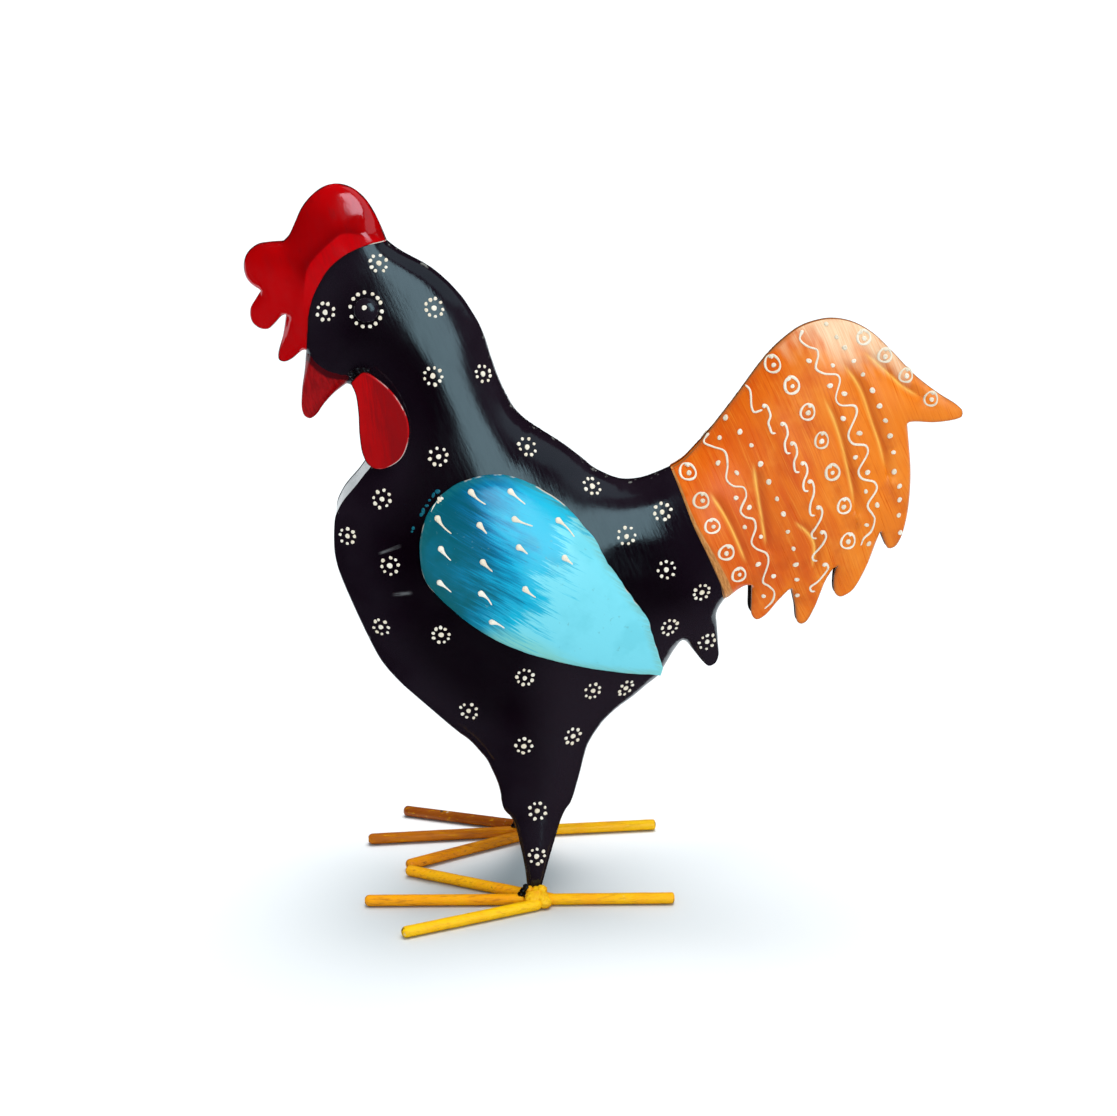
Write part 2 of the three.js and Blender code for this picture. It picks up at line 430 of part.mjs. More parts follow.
const eye = new THREE.LatheGeometry([[0, 0], [EYE_R, 0], [EYE_R * 0.94, EYE_H * 0.4], [EYE_R * 0.66, EYE_H * 0.76], [EYE_R * 0.3, EYE_H * 0.95], [0, EYE_H]]
  .map((q) => new THREE.Vector2(q[0], q[1])), 12);
{
  const slope = (dx, dz) => (depth(EYE[0] + 3 * dx, EYE[1] + 3 * dz) - depth(EYE[0] - 3 * dx, EYE[1] - 3 * dz)) / 6;
  const out = new THREE.Vector3(-slope(1, 0), -slope(0, 1), 1).normalize();
  eye.applyQuaternion(new THREE.Quaternion().setFromUnitVectors(new THREE.Vector3(0, 1, 0), out));
  const base = new THREE.Vector3(EYE[0], EYE[1], depth(...EYE)).addScaledVector(out, 0.5);
  eye.translate(base.x, base.y, base.z);
}

// strips that close the front and the underside between the two halves
const edgeHalf = (p) => [p[0], p[1], p[2] - SHEET - 0.4];
const chest = strip([...LEG_FRONT.slice(8), ...BELLY_FRONT, ...CHEST, ...THROAT.slice(0, 4)].map(edgeHalf), -1);
const crotch = [[-22, 62], [-30, 64], [-40, 65.5], [-50, 66]].map(([x, z]) => [x, z, depth(x, z) - SHEET - 3]);
const belly = strip([...BELLY_REAR.slice(1, 8).map((p) => [p[0], p[1], p[2] - SHEET - 1]), ...crotch, [-58.5, 66.5, 16]], -1);

// ---------------------------------------------------------------- feet
const longToe = rod(TOE_FRONT_TIP, TOE_BACK_TIP, ROD_R, ROD_CHAMFER);
const cope = solid(rod(TOE_FRONT_TIP, TOE_BACK_TIP, ROD_R + COPE_GAP, ROD_CHAMFER));
const fromCrossing = (tip) => {
  const len = Math.hypot(tip[0] - TOE_CROSSING[0], tip[1] - TOE_CROSSING[1]);
  return [0, 1].map((k) => TOE_CROSSING[k] + ((tip[k] - TOE_CROSSING[k]) * 5) / len);
};
const sideToe = (tip) => toGeometry(solid(rod(fromCrossing(tip), tip, ROD_R, ROD_CHAMFER)).subtract(cope));
const outerToe = sideToe(TOE_OUTER_TIP);
const innerToe = sideToe(TOE_INNER_TIP);

const lump = new THREE.SphereGeometry(1, 12, 8);
lump.scale(8.6, 7.4, 5.6);
lump.translate(ANKLE[0], ANKLE[1], ANKLE_TOP - 5.6);
const under = new THREE.BoxGeometry(60, 60, 20);
under.translate(ANKLE[0], ANKLE[1], 3.2 - 10);
const ankle = toGeometry(solid(lump).subtract(solid(under)).subtract(cope)
  .subtract(solid(rod(fromCrossing(TOE_OUTER_TIP), TOE_OUTER_TIP, ROD_R + COPE_GAP, ROD_CHAMFER)))
  .subtract(solid(rod(fromCrossing(TOE_INNER_TIP), TOE_INNER_TIP, ROD_R + COPE_GAP, ROD_CHAMFER))));

// ---------------------------------------------------------------- the bird
const paint = (color, roughness, metalness = 0.1) => new THREE.MeshStandardMaterial({ color, roughness, metalness });
const rooster = new THREE.Group();
const shell = new THREE.Group();     // pieces made lying down: stood up about X
shell.rotation.x = Math.PI / 2;
const feet = new THREE.Group();
rooster.add(shell, feet);

function add(group, name, geometry, material) {
  const mesh = new THREE.Mesh(geometry, material);
  mesh.name = name;
  group.add(mesh);
}
function pair(group, name, geometry, axis, material) {
  add(group, `left_${name}`, geometry, material());
  add(group, `right_${name}`, mirrored(geometry, axis), material());
}

const black = () => paint(0x17121b, 0.35);
const red = () => paint(0xa80a12, 0.35);
const orange = () => paint(0xdf6a17, 0.45);
const aqua = () => paint(0x3fa9c4, 0.4);
const ochre = () => paint(0xe3a31d, 0.45);

pair(shell, 'body_panel', panel, 2, black);
pair(shell, 'comb_half', comb, 2, red);
pair(shell, 'tail_half', tail, 2, orange);
pair(shell, 'wing', wing, 2, aqua);
pair(shell, 'wattle', wattle, 2, red);
pair(shell, 'wattle_weld', wattleWeld, 2, black);
pair(shell, 'eye_boss', eye, 2, black);
add(shell, 'chest_strip', chest, black());
add(shell, 'belly_strip', belly, black());
pair(feet, 'long_toe', longToe, 1, ochre);
pair(feet, 'outer_toe', outerToe, 1, ochre);
pair(feet, 'inner_toe', innerToe, 1, ochre);
pair(feet, 'ankle_weld', ankle, 1, ochre);

export default rooster;
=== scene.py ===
# Rooster garden ornament of dished and painted sheet metal, standing on feet of welded round rod.
# The bird looks along -X, its left side is at -Y, the floor is z = 0. Shapes are worked out in millimetres.

import json
import math

import bpy
import numpy as np
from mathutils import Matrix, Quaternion, Vector
from mathutils.geometry import delaunay_2d_cdt

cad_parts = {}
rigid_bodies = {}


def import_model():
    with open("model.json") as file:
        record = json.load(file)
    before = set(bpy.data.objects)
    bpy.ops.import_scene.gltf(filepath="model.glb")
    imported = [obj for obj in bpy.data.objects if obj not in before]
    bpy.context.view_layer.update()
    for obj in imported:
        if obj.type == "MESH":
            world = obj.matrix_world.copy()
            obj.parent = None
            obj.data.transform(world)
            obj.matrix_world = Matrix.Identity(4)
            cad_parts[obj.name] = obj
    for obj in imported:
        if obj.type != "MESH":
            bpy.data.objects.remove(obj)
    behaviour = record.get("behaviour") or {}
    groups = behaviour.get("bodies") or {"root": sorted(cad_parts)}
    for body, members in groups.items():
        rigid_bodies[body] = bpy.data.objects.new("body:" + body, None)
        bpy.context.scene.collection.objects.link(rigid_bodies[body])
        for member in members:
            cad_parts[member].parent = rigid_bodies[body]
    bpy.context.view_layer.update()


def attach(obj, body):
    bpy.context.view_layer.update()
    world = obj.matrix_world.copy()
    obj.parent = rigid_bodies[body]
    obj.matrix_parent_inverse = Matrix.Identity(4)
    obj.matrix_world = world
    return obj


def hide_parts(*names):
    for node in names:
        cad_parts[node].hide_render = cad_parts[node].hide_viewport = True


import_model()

RNG = np.random.default_rng(20)

# ---------------------------------------------------------------- outlines of the dished half
# (along x, up z, edge depth off the mid plane, softness of the roll at the edge, 1 at a sharp corner)
BACK = [(-113.3, 350.6, 1.3, 1), (-111.1, 348.6, 1.3, 1), (-109.2, 347.1, 1.3, 1), (-105.3, 344.5, 1.3, 1),
    (-94.4, 338.4, 1.3, 1), (-88, 333.8, 1.3, 1), (-80.1, 326.1, 1.3, 1), (-75.1, 319.9, 1.3, 1),
    (-71.2, 313.8, 1.3, 1), (-67.7, 307.6, 1.3, 1), (-65.2, 301.4, 1.3, 1), (-63.3, 295.1, 1.3, 1),
    (-61.3, 288.9, 1.3, 1), (-59.3, 282.6, 1.3, 1), (-56.8, 276.3, 1.3, 1), (-53.8, 270, 1.3, 1),
    (-50.3, 263.6, 1.3, 1), (-44.1, 257.1, 1.3, 1), (-34.8, 250.6, 1.3, 1), (-25, 244, 1.3, 1),
    (-16.6, 237.4, 1.3, 1), (-8.8, 230.8, 1.3, 1), (-4, 228.1, 1.3, 1), (2.3, 225.2, 1.3, 1), (6.5, 224.1, 1.3, 1),
    (11.2, 224, 1.3, 1), (17.5, 225, 1.3, 1), (24.3, 227.5, 1.3, 1), (31.2, 230.6, 1.3, 1)]
TAIL = [(37.3, 234.3, 1.3, 1), (43, 240.2, 1.3, 1), (53, 252.3, 1.3, 1), (65.3, 268.9, 1.3, 1),
    (77.3, 285.9, 1.3, 1), (85.8, 295.4, 1.3, 1), (96.9, 304, 1.3, 1), (106.8, 307.4, 1.3, 1),
    (114.3, 308.1, 1.3, 1), (124.3, 306.1, 1.3, 1), (134.8, 300.4, 1.3, 1), (145.4, 290.7, 1.3, 1),
    (157.6, 278.4, 1.3, 1), (170.9, 268.1, 1.3, 1), (181.6, 261.3, 1.3, 1), (184.5, 258.2, 1.3, 1),
    (184.3, 255.3, 1.6, 1), (181.9, 254.1, 1.8, 1), (170.4, 252.5, 2, 1), (158.8, 253.1, 2.4, 1),
    (155.1, 252.7, 3, 1, 1), (156.7, 240.8, 3, 1), (158.3, 227.3, 3, 1), (158.6, 214, 3, 1), (157.6, 200.8, 3, 1),
    (154.9, 189.4, 3, 1), (151.9, 184.8, 3, 1), (148.7, 184.1, 3, 1), (145.9, 188.8, 3, 1), (143.9, 193.9, 3, 1, 1),
    (141.8, 187.6, 3, 1), (136.8, 172.8, 3, 1), (130.7, 161.3, 3, 1), (127.3, 158.6, 3, 1), (123.8, 157.4, 3, 1),
    (121, 159.6, 3, 1), (120.1, 167.7, 3, 1), (121.1, 175.9, 3, 1, 1), (116.1, 167.8, 3, 1), (110.2, 151.5, 3, 1),
    (105.9, 143.5, 3, 1), (103.5, 142.4, 3, 1), (101.3, 143.6, 3, 1), (99.6, 153.1, 3, 1), (97.1, 163.3, 3, 1, 1),
    (90.3, 156.1, 3, 1), (82.8, 148, 3, 1), (78.7, 146.4, 3, 1), (75.9, 149.3, 3, 1), (75.3, 158.4, 3, 1),
    (75.2, 166.5, 3, 1, 1), (71.8, 166.3, 2.4, 1), (67.1, 163.2, 1.8, 1), (61.8, 157.8, 1.4, 1)]
RUMP = [(57.6, 149.7, 1.3, 1), (58, 142.3, 1.3, 1), (58.8, 132.5, 1.3, 1), (59.3, 124.5, 1.3, 1),
    (57.5, 120.2, 1.3, 1), (54.2, 118.8, 1.3, 1), (50.9, 121.5, 1.3, 1), (45.3, 128.6, 1.3, 1),
    (41.4, 133.5, 1.3, 1), (39, 135, 1.3, 1, 1), (35, 129.1, 1.3, 1), (30.3, 120.6, 1.3, 1), (27.1, 115, 1.6, 1)]
BELLY_REAR = [(20.4, 110.1, 3.5, 2), (12.7, 104.4, 6, 3), (3.8, 98.9, 9, 4), (-3.4, 93.1, 11.5, 4),
    (-8.4, 87.1, 13.5, 4), (-12.3, 80.9, 15, 3.5), (-14.5, 74.5, 16.2, 3), (-16.5, 67, 17.8, 2.5),
    (-18.5, 60.1, 19.3, 2), (-20.6, 53.6, 21, 1.5)]
LEG_REAR = [(-22.3, 50, 22.2, 1), (-25.4, 45.9, 23.6, 1), (-27.5, 41.8, 25, 1), (-30.7, 32.8, 28.2, 1),
    (-33.7, 23.9, 31.2, 1), (-36.6, 14.7, 34.4, 1), (-39.3, 5.6, 36.5, 1, 1)]
LEG_FRONT = [(-46.3, 6.2, 36.5, 1, 1), (-47.5, 17.6, 33.6, 1), (-49.5, 28, 30, 1), (-52, 38, 26.6, 1),
    (-54.4, 43.8, 24.8, 1), (-57.9, 47.5, 23.6, 1), (-59.4, 52.4, 22.2, 1), (-59.9, 56.6, 21, 1),
    (-61.4, 62.2, 19.8, 1), (-64.2, 68.8, 18.6, 1)]
BELLY_FRONT = [(-66.8, 74.4, 17.8, 2.5), (-69.9, 78.5, 17.2, 3.1), (-76.2, 85.7, 16.6, 3.8),
    (-82.6, 90.9, 16.2, 4.4), (-89.9, 97.7, 16, 5.1), (-97.2, 104.8, 16, 5.7), (-104.4, 111.8, 16, 6.4),
    (-111.1, 118.5, 16, 7), (-117.3, 125.8, 16, 7), (-121.8, 132.3, 16, 7), (-125.3, 139.2, 16, 7),
    (-131.1, 152.7, 16, 7), (-136.4, 166.1, 16, 7), (-141.2, 179.3, 16, 7), (-143, 185.9, 16, 7),
    (-144, 192.5, 16, 7), (-144.1, 198.9, 16, 7), (-143.8, 205.4, 16, 7), (-143, 211.3, 16, 7)]
CHEST = [(-141.2, 215.5, 16, 7), (-138.8, 219.6, 16, 7), (-136.1, 223, 16, 7), (-132, 227.6, 16, 7),
    (-127.3, 233.6, 16, 7), (-124.1, 237.5, 16, 7)]
THROAT = [(-122.3, 242, 15.2, 7), (-121.9, 248.4, 13.6, 6), (-122.5, 255.7, 11.4, 5), (-123.9, 263.4, 8.8, 4),
    (-125.8, 270.2, 6.2, 3), (-129.8, 275.3, 3.6, 2), (-135.3, 278.1, 1.8, 1, 1)]
BEAK = [(-141.9, 273.1, 1.4, 1), (-147.4, 267.3, 1.4, 1), (-151.7, 261.6, 1.4, 1), (-154.9, 259.8, 1.4, 1),
    (-157.4, 261.1, 1.4, 1), (-158.7, 264.8, 1.4, 1), (-158.3, 274.4, 1.4, 1), (-156.4, 286.1, 1.4, 1),
    (-155, 296.2, 1.4, 1, 1)]
COMB = [(-157.6, 295.2, 1.3, 1), (-163, 290.9, 1.3, 1), (-166.6, 289.5, 1.3, 1), (-169.1, 290.4, 1.3, 1),
    (-169.5, 293.5, 1.3, 1), (-166.5, 304, 1.3, 1), (-164.7, 314.2, 1.3, 1, 1), (-167.2, 312.6, 1.3, 1),
    (-170.9, 308.8, 1.3, 1), (-174, 306.4, 1.3, 1), (-178.1, 306.8, 1.3, 1), (-181.9, 310.3, 1.3, 1),
    (-182.4, 316.7, 1.3, 1), (-179.5, 321.7, 1.3, 1), (-176.6, 326.1, 1.3, 1, 1), (-180.1, 328.3, 1.3, 1),
    (-183.5, 332.2, 1.3, 1), (-184.7, 338.4, 1.3, 1), (-182.9, 344.4, 1.3, 1), (-177.7, 348.9, 1.3, 1),
    (-170.6, 350.2, 1.3, 1), (-164.6, 350.5, 1.3, 1, 1), (-161.8, 353.3, 1.3, 1), (-158.6, 359.5, 1.3, 1),
    (-154.8, 367.1, 1.3, 1), (-149.4, 373.3, 1.3, 1), (-143.4, 377.3, 1.3, 1), (-136.9, 378.5, 1.3, 1),
    (-130.3, 376.8, 1.3, 1), (-124.3, 372.2, 1.3, 1), (-119.6, 365.5, 1.3, 1), (-115.9, 357.3, 1.3, 1)]

# ---------------------------------------------------------------- borders and flat outlines (along x, up z)
COMB_BORDER = [(-155, 296.2), (-153.9, 305.3), (-152.7, 316), (-150.3, 324.3), (-146, 332.5), (-140.3, 339.5),
    (-134, 344.3), (-126.9, 347.7), (-120.4, 349.7), (-113.3, 350.6)]
TAIL_BORDER = [(31.2, 230.6), (35.2, 220.4), (41.7, 203.2), (50, 185.8), (57.3, 169.7), (61.8, 157.8)]
WING = [(-59, 233.9), (-71.3, 233.2), (-81.2, 229.8), (-88.7, 224.6), (-94.4, 217.4), (-98.2, 208.7),
    (-100.2, 198.4), (-99.8, 188.2), (-97, 179.1), (-90.9, 171.3), (-82.3, 162.9), (-72.5, 154.6), (-60, 146.7),
    (-46.2, 140.2), (-32.3, 135.2), (-14.3, 129.5), (2.8, 124.5), (20, 119.6), (26.6, 118.4), (27.8, 122.5),
    (23.4, 137.1), (17.2, 154.8), (8.4, 169.6), (-3, 186.1), (-10.5, 198.3), (-19.1, 210.3), (-29.1, 219.9),
    (-40.3, 227.2), (-50.4, 232)]
WATTLE = [(-126, 287.6), (-129.5, 285.4), (-132.8, 282), (-130.5, 276.3), (-129.4, 266.9), (-129.1, 255.2),
    (-127.8, 245.5), (-124.9, 239.8), (-119.9, 237.8), (-113.5, 239.5), (-108.3, 243.6), (-105, 251.1),
    (-104.2, 259.8), (-106.1, 267.1), (-111.5, 276.4), (-118.6, 283.2)]
EYE = (-124.2, 317.7)

# feet of the left side, seen from above (x, y)
TOE_FRONT_TIP = (-133.5, -37.2)
TOE_BACK_TIP = (32.1, -45.3)
TOE_OUTER_TIP = (-113.3, -73.8)
TOE_INNER_TIP = (-111.4, -2.9)
TOE_CROSSING = (-33.2, -42.1)
ANKLE = (-40.5, -40.4)
ROD = 3.1

# ---------------------------------------------------------------- raised paint
ROSETTES = [(-117.4, 340.3), (-144.4, 316.7), (-90.2, 317.7), (-91.5, 284.2), (-66.2, 283.4), (-89.6, 243.9),
    (-44.2, 245.8), (-118.7, 222.2), (-137, 202), (-115.5, 187.3), (-121.1, 152.8), (-90.1, 150.1), (-46.8, 125.8),
    (-76.2, 106), (-47.4, 86.2), (-21, 89.4), (-10.4, 223.7), (25.8, 210.6), (6.8, 199.3), (27.9, 180.4),
    (47.4, 165.8), (30.6, 147.2), (52.3, 134.2), (-10.6, 114.9), (7.8, 112.9), (-40.5, 49.6), (-41.1, 25.4)]
DROPS = [(-73.6, 227.4, -66.1, 220.7), (-53.7, 226.6, -45.9, 219.6), (-90.7, 214.3, -83.8, 206.5),
    (-69.8, 211, -65.9, 206.3), (-52, 213.1, -42.3, 208.8), (-29.6, 210.7, -20.9, 201.9),
    (-89.4, 199.1, -84.3, 192.9), (-68.4, 192.5, -63.3, 187.1), (-50.2, 199, -45.3, 195.4),
    (-26.6, 192.6, -22, 188.6), (-90.6, 180.9, -84.4, 175.8), (-69.9, 175.6, -63.9, 169.4),
    (-47, 178.2, -41.3, 172.9), (-64.4, 159.5, -57.4, 156.2)]
RINGS_ROOT = [(39.4, 230.2), (45.8, 216.4), (51.6, 203.1), (59.4, 188.5), (66.7, 175.2)]
RINGS_MID = [(82.6, 285.6), (92.1, 275.3), (100.6, 261.5), (108.5, 246.3), (114.9, 229.1), (122.2, 210.4),
    (125.3, 190.7)]
RINGS_TOP = [(129.6, 298.6), (141.2, 289), (152.9, 278.1), (167, 265.3)]
WAVE_ROOT = [(50.9, 249.1), (48.2, 244.6), (52.3, 243), (58.3, 240.9), (59.7, 234.2), (59.1, 226.9), (62.5, 223.5),
    (68.2, 222.3), (69.6, 218.1), (66.6, 210.2), (69.2, 206.9), (73.8, 205.1), (75, 200.7), (72.9, 192.8),
    (75.5, 189.3), (81.6, 185.5), (82.7, 181.1), (80.4, 169.5), (83.8, 166.7), (87.2, 162.5), (86.6, 157.1),
    (82.5, 152.7)]
WAVE_MID = [(98.1, 302.7), (96.4, 298.3), (99.9, 295), (105, 293), (105.5, 290), (104.4, 283.9), (108.7, 281.2),
    (115.7, 280.2), (117.1, 277.7), (115.2, 268), (117.4, 264.8), (125.7, 263.6), (126.7, 260.4), (122.6, 248.5),
    (124.9, 244.2), (132.3, 242.5), (133.5, 239.1), (128.8, 229.1), (130.6, 225.3), (137.8, 222.7), (139.3, 219.3),
    (134.7, 210.2), (137.6, 205.3), (139.1, 202.6), (137.8, 195.5), (133.9, 191.5), (132.6, 187.5)]
WAVE_DOTS = [(54.8, 235.1), (64.1, 217.2), (69, 201.5), (77.1, 180.3), (81.4, 160.7), (59.2, 257.4), (55.9, 247.5),
    (64.5, 230.1), (71.3, 211.7), (78.1, 195.3), (86, 172.5), (100.8, 287.7), (111.9, 274.9), (119.5, 257.5),
    (126.8, 236.7), (133.3, 218), (134.9, 199.3), (113.2, 285.2), (119.7, 270.4), (128.5, 249.4), (133.7, 228.3),
    (139.9, 210.2), (137.1, 188.1)]
DOT_ROWS = [(66.1, 251), (71.9, 244.3), (76.7, 234.7), (81.2, 225.2), (85.7, 216.1), (89.4, 207.8), (92.2, 197.8),
    (95.8, 188), (97.7, 178.6), (99, 169.5), (100.3, 159.3), (110.1, 305.7), (115.2, 299.3), (119.4, 294),
    (124.3, 287.1), (129.4, 279.9), (134.7, 271.5), (138.7, 263.3), (142.2, 255.5), (145.1, 247.2), (147.5, 238.2),
    (148.6, 227.5), (151.8, 219.6), (152.3, 212.1), (152.5, 203.3), (154.4, 193.1)]
HOOK_START = [(69.3, 274.2), (71.3, 272.1), (72, 263.9), (73.2, 261.3), (77.4, 262.7)]
HOOKS = [(78.7, 264.5, 82.9, 250.7), (88, 255.4, 90.8, 240.3), (93.2, 245.2, 95.8, 230.2),
    (99.1, 234.6, 100.9, 219.9), (103, 224.7, 105, 206.3), (108.2, 210.4, 107, 192.9), (111.1, 196.4, 108.3, 179.8),
    (113.9, 177.3, 108.4, 161.5)]
FLUTES = [
    [(108.4, 270.7), (115.5, 256.6), (120.2, 243.3), (127, 217.3), (128.6, 207.8)],
    [(116.9, 288.8), (128.2, 273.8), (135.1, 257), (140.6, 242.4), (145.3, 226.5)],
    [(129, 292.5), (139.3, 284), (152, 272.7), (162.2, 266.4)],
    [(73.3, 236.8), (76.7, 216.9), (79.9, 200), (82, 188.1)],
    [(49.5, 222.5), (60.6, 205.1), (71.7, 179.9)],
    [(95.1, 204.9), (107.1, 191.5), (107.8, 174.4)]]
PUPIL = [(-124.9, 319.7)]
BEAK_EDGE = [(-154.4, 294.4), (-149.3, 289.3), (-143.4, 285.3), (-135.1, 283.9)]
COMB_FOLD = [(-155.2, 322), (-154, 333.5), (-152.6, 338.9), (-148.1, 344.8), (-139.9, 352.1), (-135.6, 355), (-129.5, 355.4), (-123, 353.8)]

# ---------------------------------------------------------------- curves, distances and soft unevenness


def smooth(a, b, x):
    t = np.clip((np.asarray(x, float) - a) / (b - a), 0, 1)
    return t * t * (3 - 2 * t)


def refine(points, step, closed=True, corners=()):
    """A dense smooth line through the points; it breaks at the corners. Columns after x and z run straight."""
    P = np.array([tuple(p) for p in points], float)
    n = len(P)
    out = []
    for i in range(n if closed else n - 1):
        p1, p2 = P[i], P[(i + 1) % n]
        p0 = 2 * p1 - p2 if i in corners or (not closed and i == 0) else P[i - 1]
        p3 = 2 * p2 - p1 if (i + 1) % n in corners or (not closed and i + 2 >= n) else P[(i + 2) % n]
        t = [0.0]
        for a, b in ((p0, p1), (p1, p2), (p2, p3)):
            t.append(t[-1] + max(math.hypot(b[0] - a[0], b[1] - a[1]), 1e-6) ** 0.5)
        m = max(1, int(round(math.hypot(p2[0] - p1[0], p2[1] - p1[1]) / step)))
        for k in range(m):
            u = t[1] + (t[2] - t[1]) * k / m
            a1 = (t[1] - u) / (t[1] - t[0]) * p0 + (u - t[0]) / (t[1] - t[0]) * p1
            a2 = (t[2] - u) / (t[2] - t[1]) * p1 + (u - t[1]) / (t[2] - t[1]) * p2
            a3 = (t[3] - u) / (t[3] - t[2]) * p2 + (u - t[2]) / (t[3] - t[2]) * p3
            b1 = (t[2] - u) / (t[2] - t[0]) * a1 + (u - t[0]) / (t[2] - t[0]) * a2
            b2 = (t[3] - u) / (t[3] - t[1]) * a2 + (u - t[1]) / (t[3] - t[1]) * a3
            q = (t[2] - u) / (t[2] - t[1]) * b1 + (u - t[1]) / (t[2] - t[1]) * b2
            q[2:] = p1[2:] * (1 - k / m) + p2[2:] * k / m
            out.append(q)
    if not closed:
        out.append(P[-1])
    return np.array(out)


def to_line(x, z, line, closed=False):
    """Distance of each point to a line, and which side of it the point is on (+1 is left of the way along it)."""
    x, z = np.asarray(x, float), np.asarray(z, float)
    best, side, where = np.full(x.shape, 1e9), np.ones(x.shape), np.zeros(x.shape)
    L = np.asarray(line, float)[:, :2]
    if closed:
        L = np.vstack([L, L[:1]])
    run = 0.0
    for a, b in zip(L[:-1], L[1:]):
        d = b - a
        n2 = max(d @ d, 1e-12)
        t = np.clip(((x - a[0]) * d[0] + (z - a[1]) * d[1]) / n2, 0, 1)
        q = np.hypot(x - a[0] - t * d[0], z - a[1] - t * d[1])
        m = q < best
        best = np.where(m, q, best)
        side = np.where(m, np.where(d[0] * (z - a[1]) - d[1] * (x - a[0]) >= 0, 1.0, -1.0), side)
        where = np.where(m, run + t * math.sqrt(n2), where)
        run += math.sqrt(n2)
    return best, side, where / max(run, 1e-9)


def within(x, z, loop):
    odd = np.zeros(np.shape(x), bool)
    L = np.asarray(loop, float)
    for a, b in zip(L, np.roll(L, -1, 0)):
        if a[1] == b[1]:
            continue
        odd ^= ((a[1] > z) != (b[1] > z)) & (x < a[0] + (z - a[1]) * (b[0] - a[0]) / (b[1] - a[1]))
    return odd


def uneven(x, z, cell, seed):
    """Smooth hills and hollows between -1 and 1, about one to a cell."""
    u, w = np.asarray(x, float) / cell, np.asarray(z, float) / cell
    i, j = np.floor(u), np.floor(w)
    a, b = u - i, w - j
    a, b = a * a * a * (a * (6 * a - 15) + 10), b * b * b * (b * (6 * b - 15) + 10)

    def high(p, q):
        v = np.sin(p * 127.1 + q * 311.7 + seed * 74.7) * 43758.5453
        return 2 * (v - np.floor(v)) - 1

    return (high(i, j) * (1 - a) + high(i + 1, j) * a) * (1 - b) + (high(i, j + 1) * (1 - a) + high(i + 1, j + 1) * a) * b


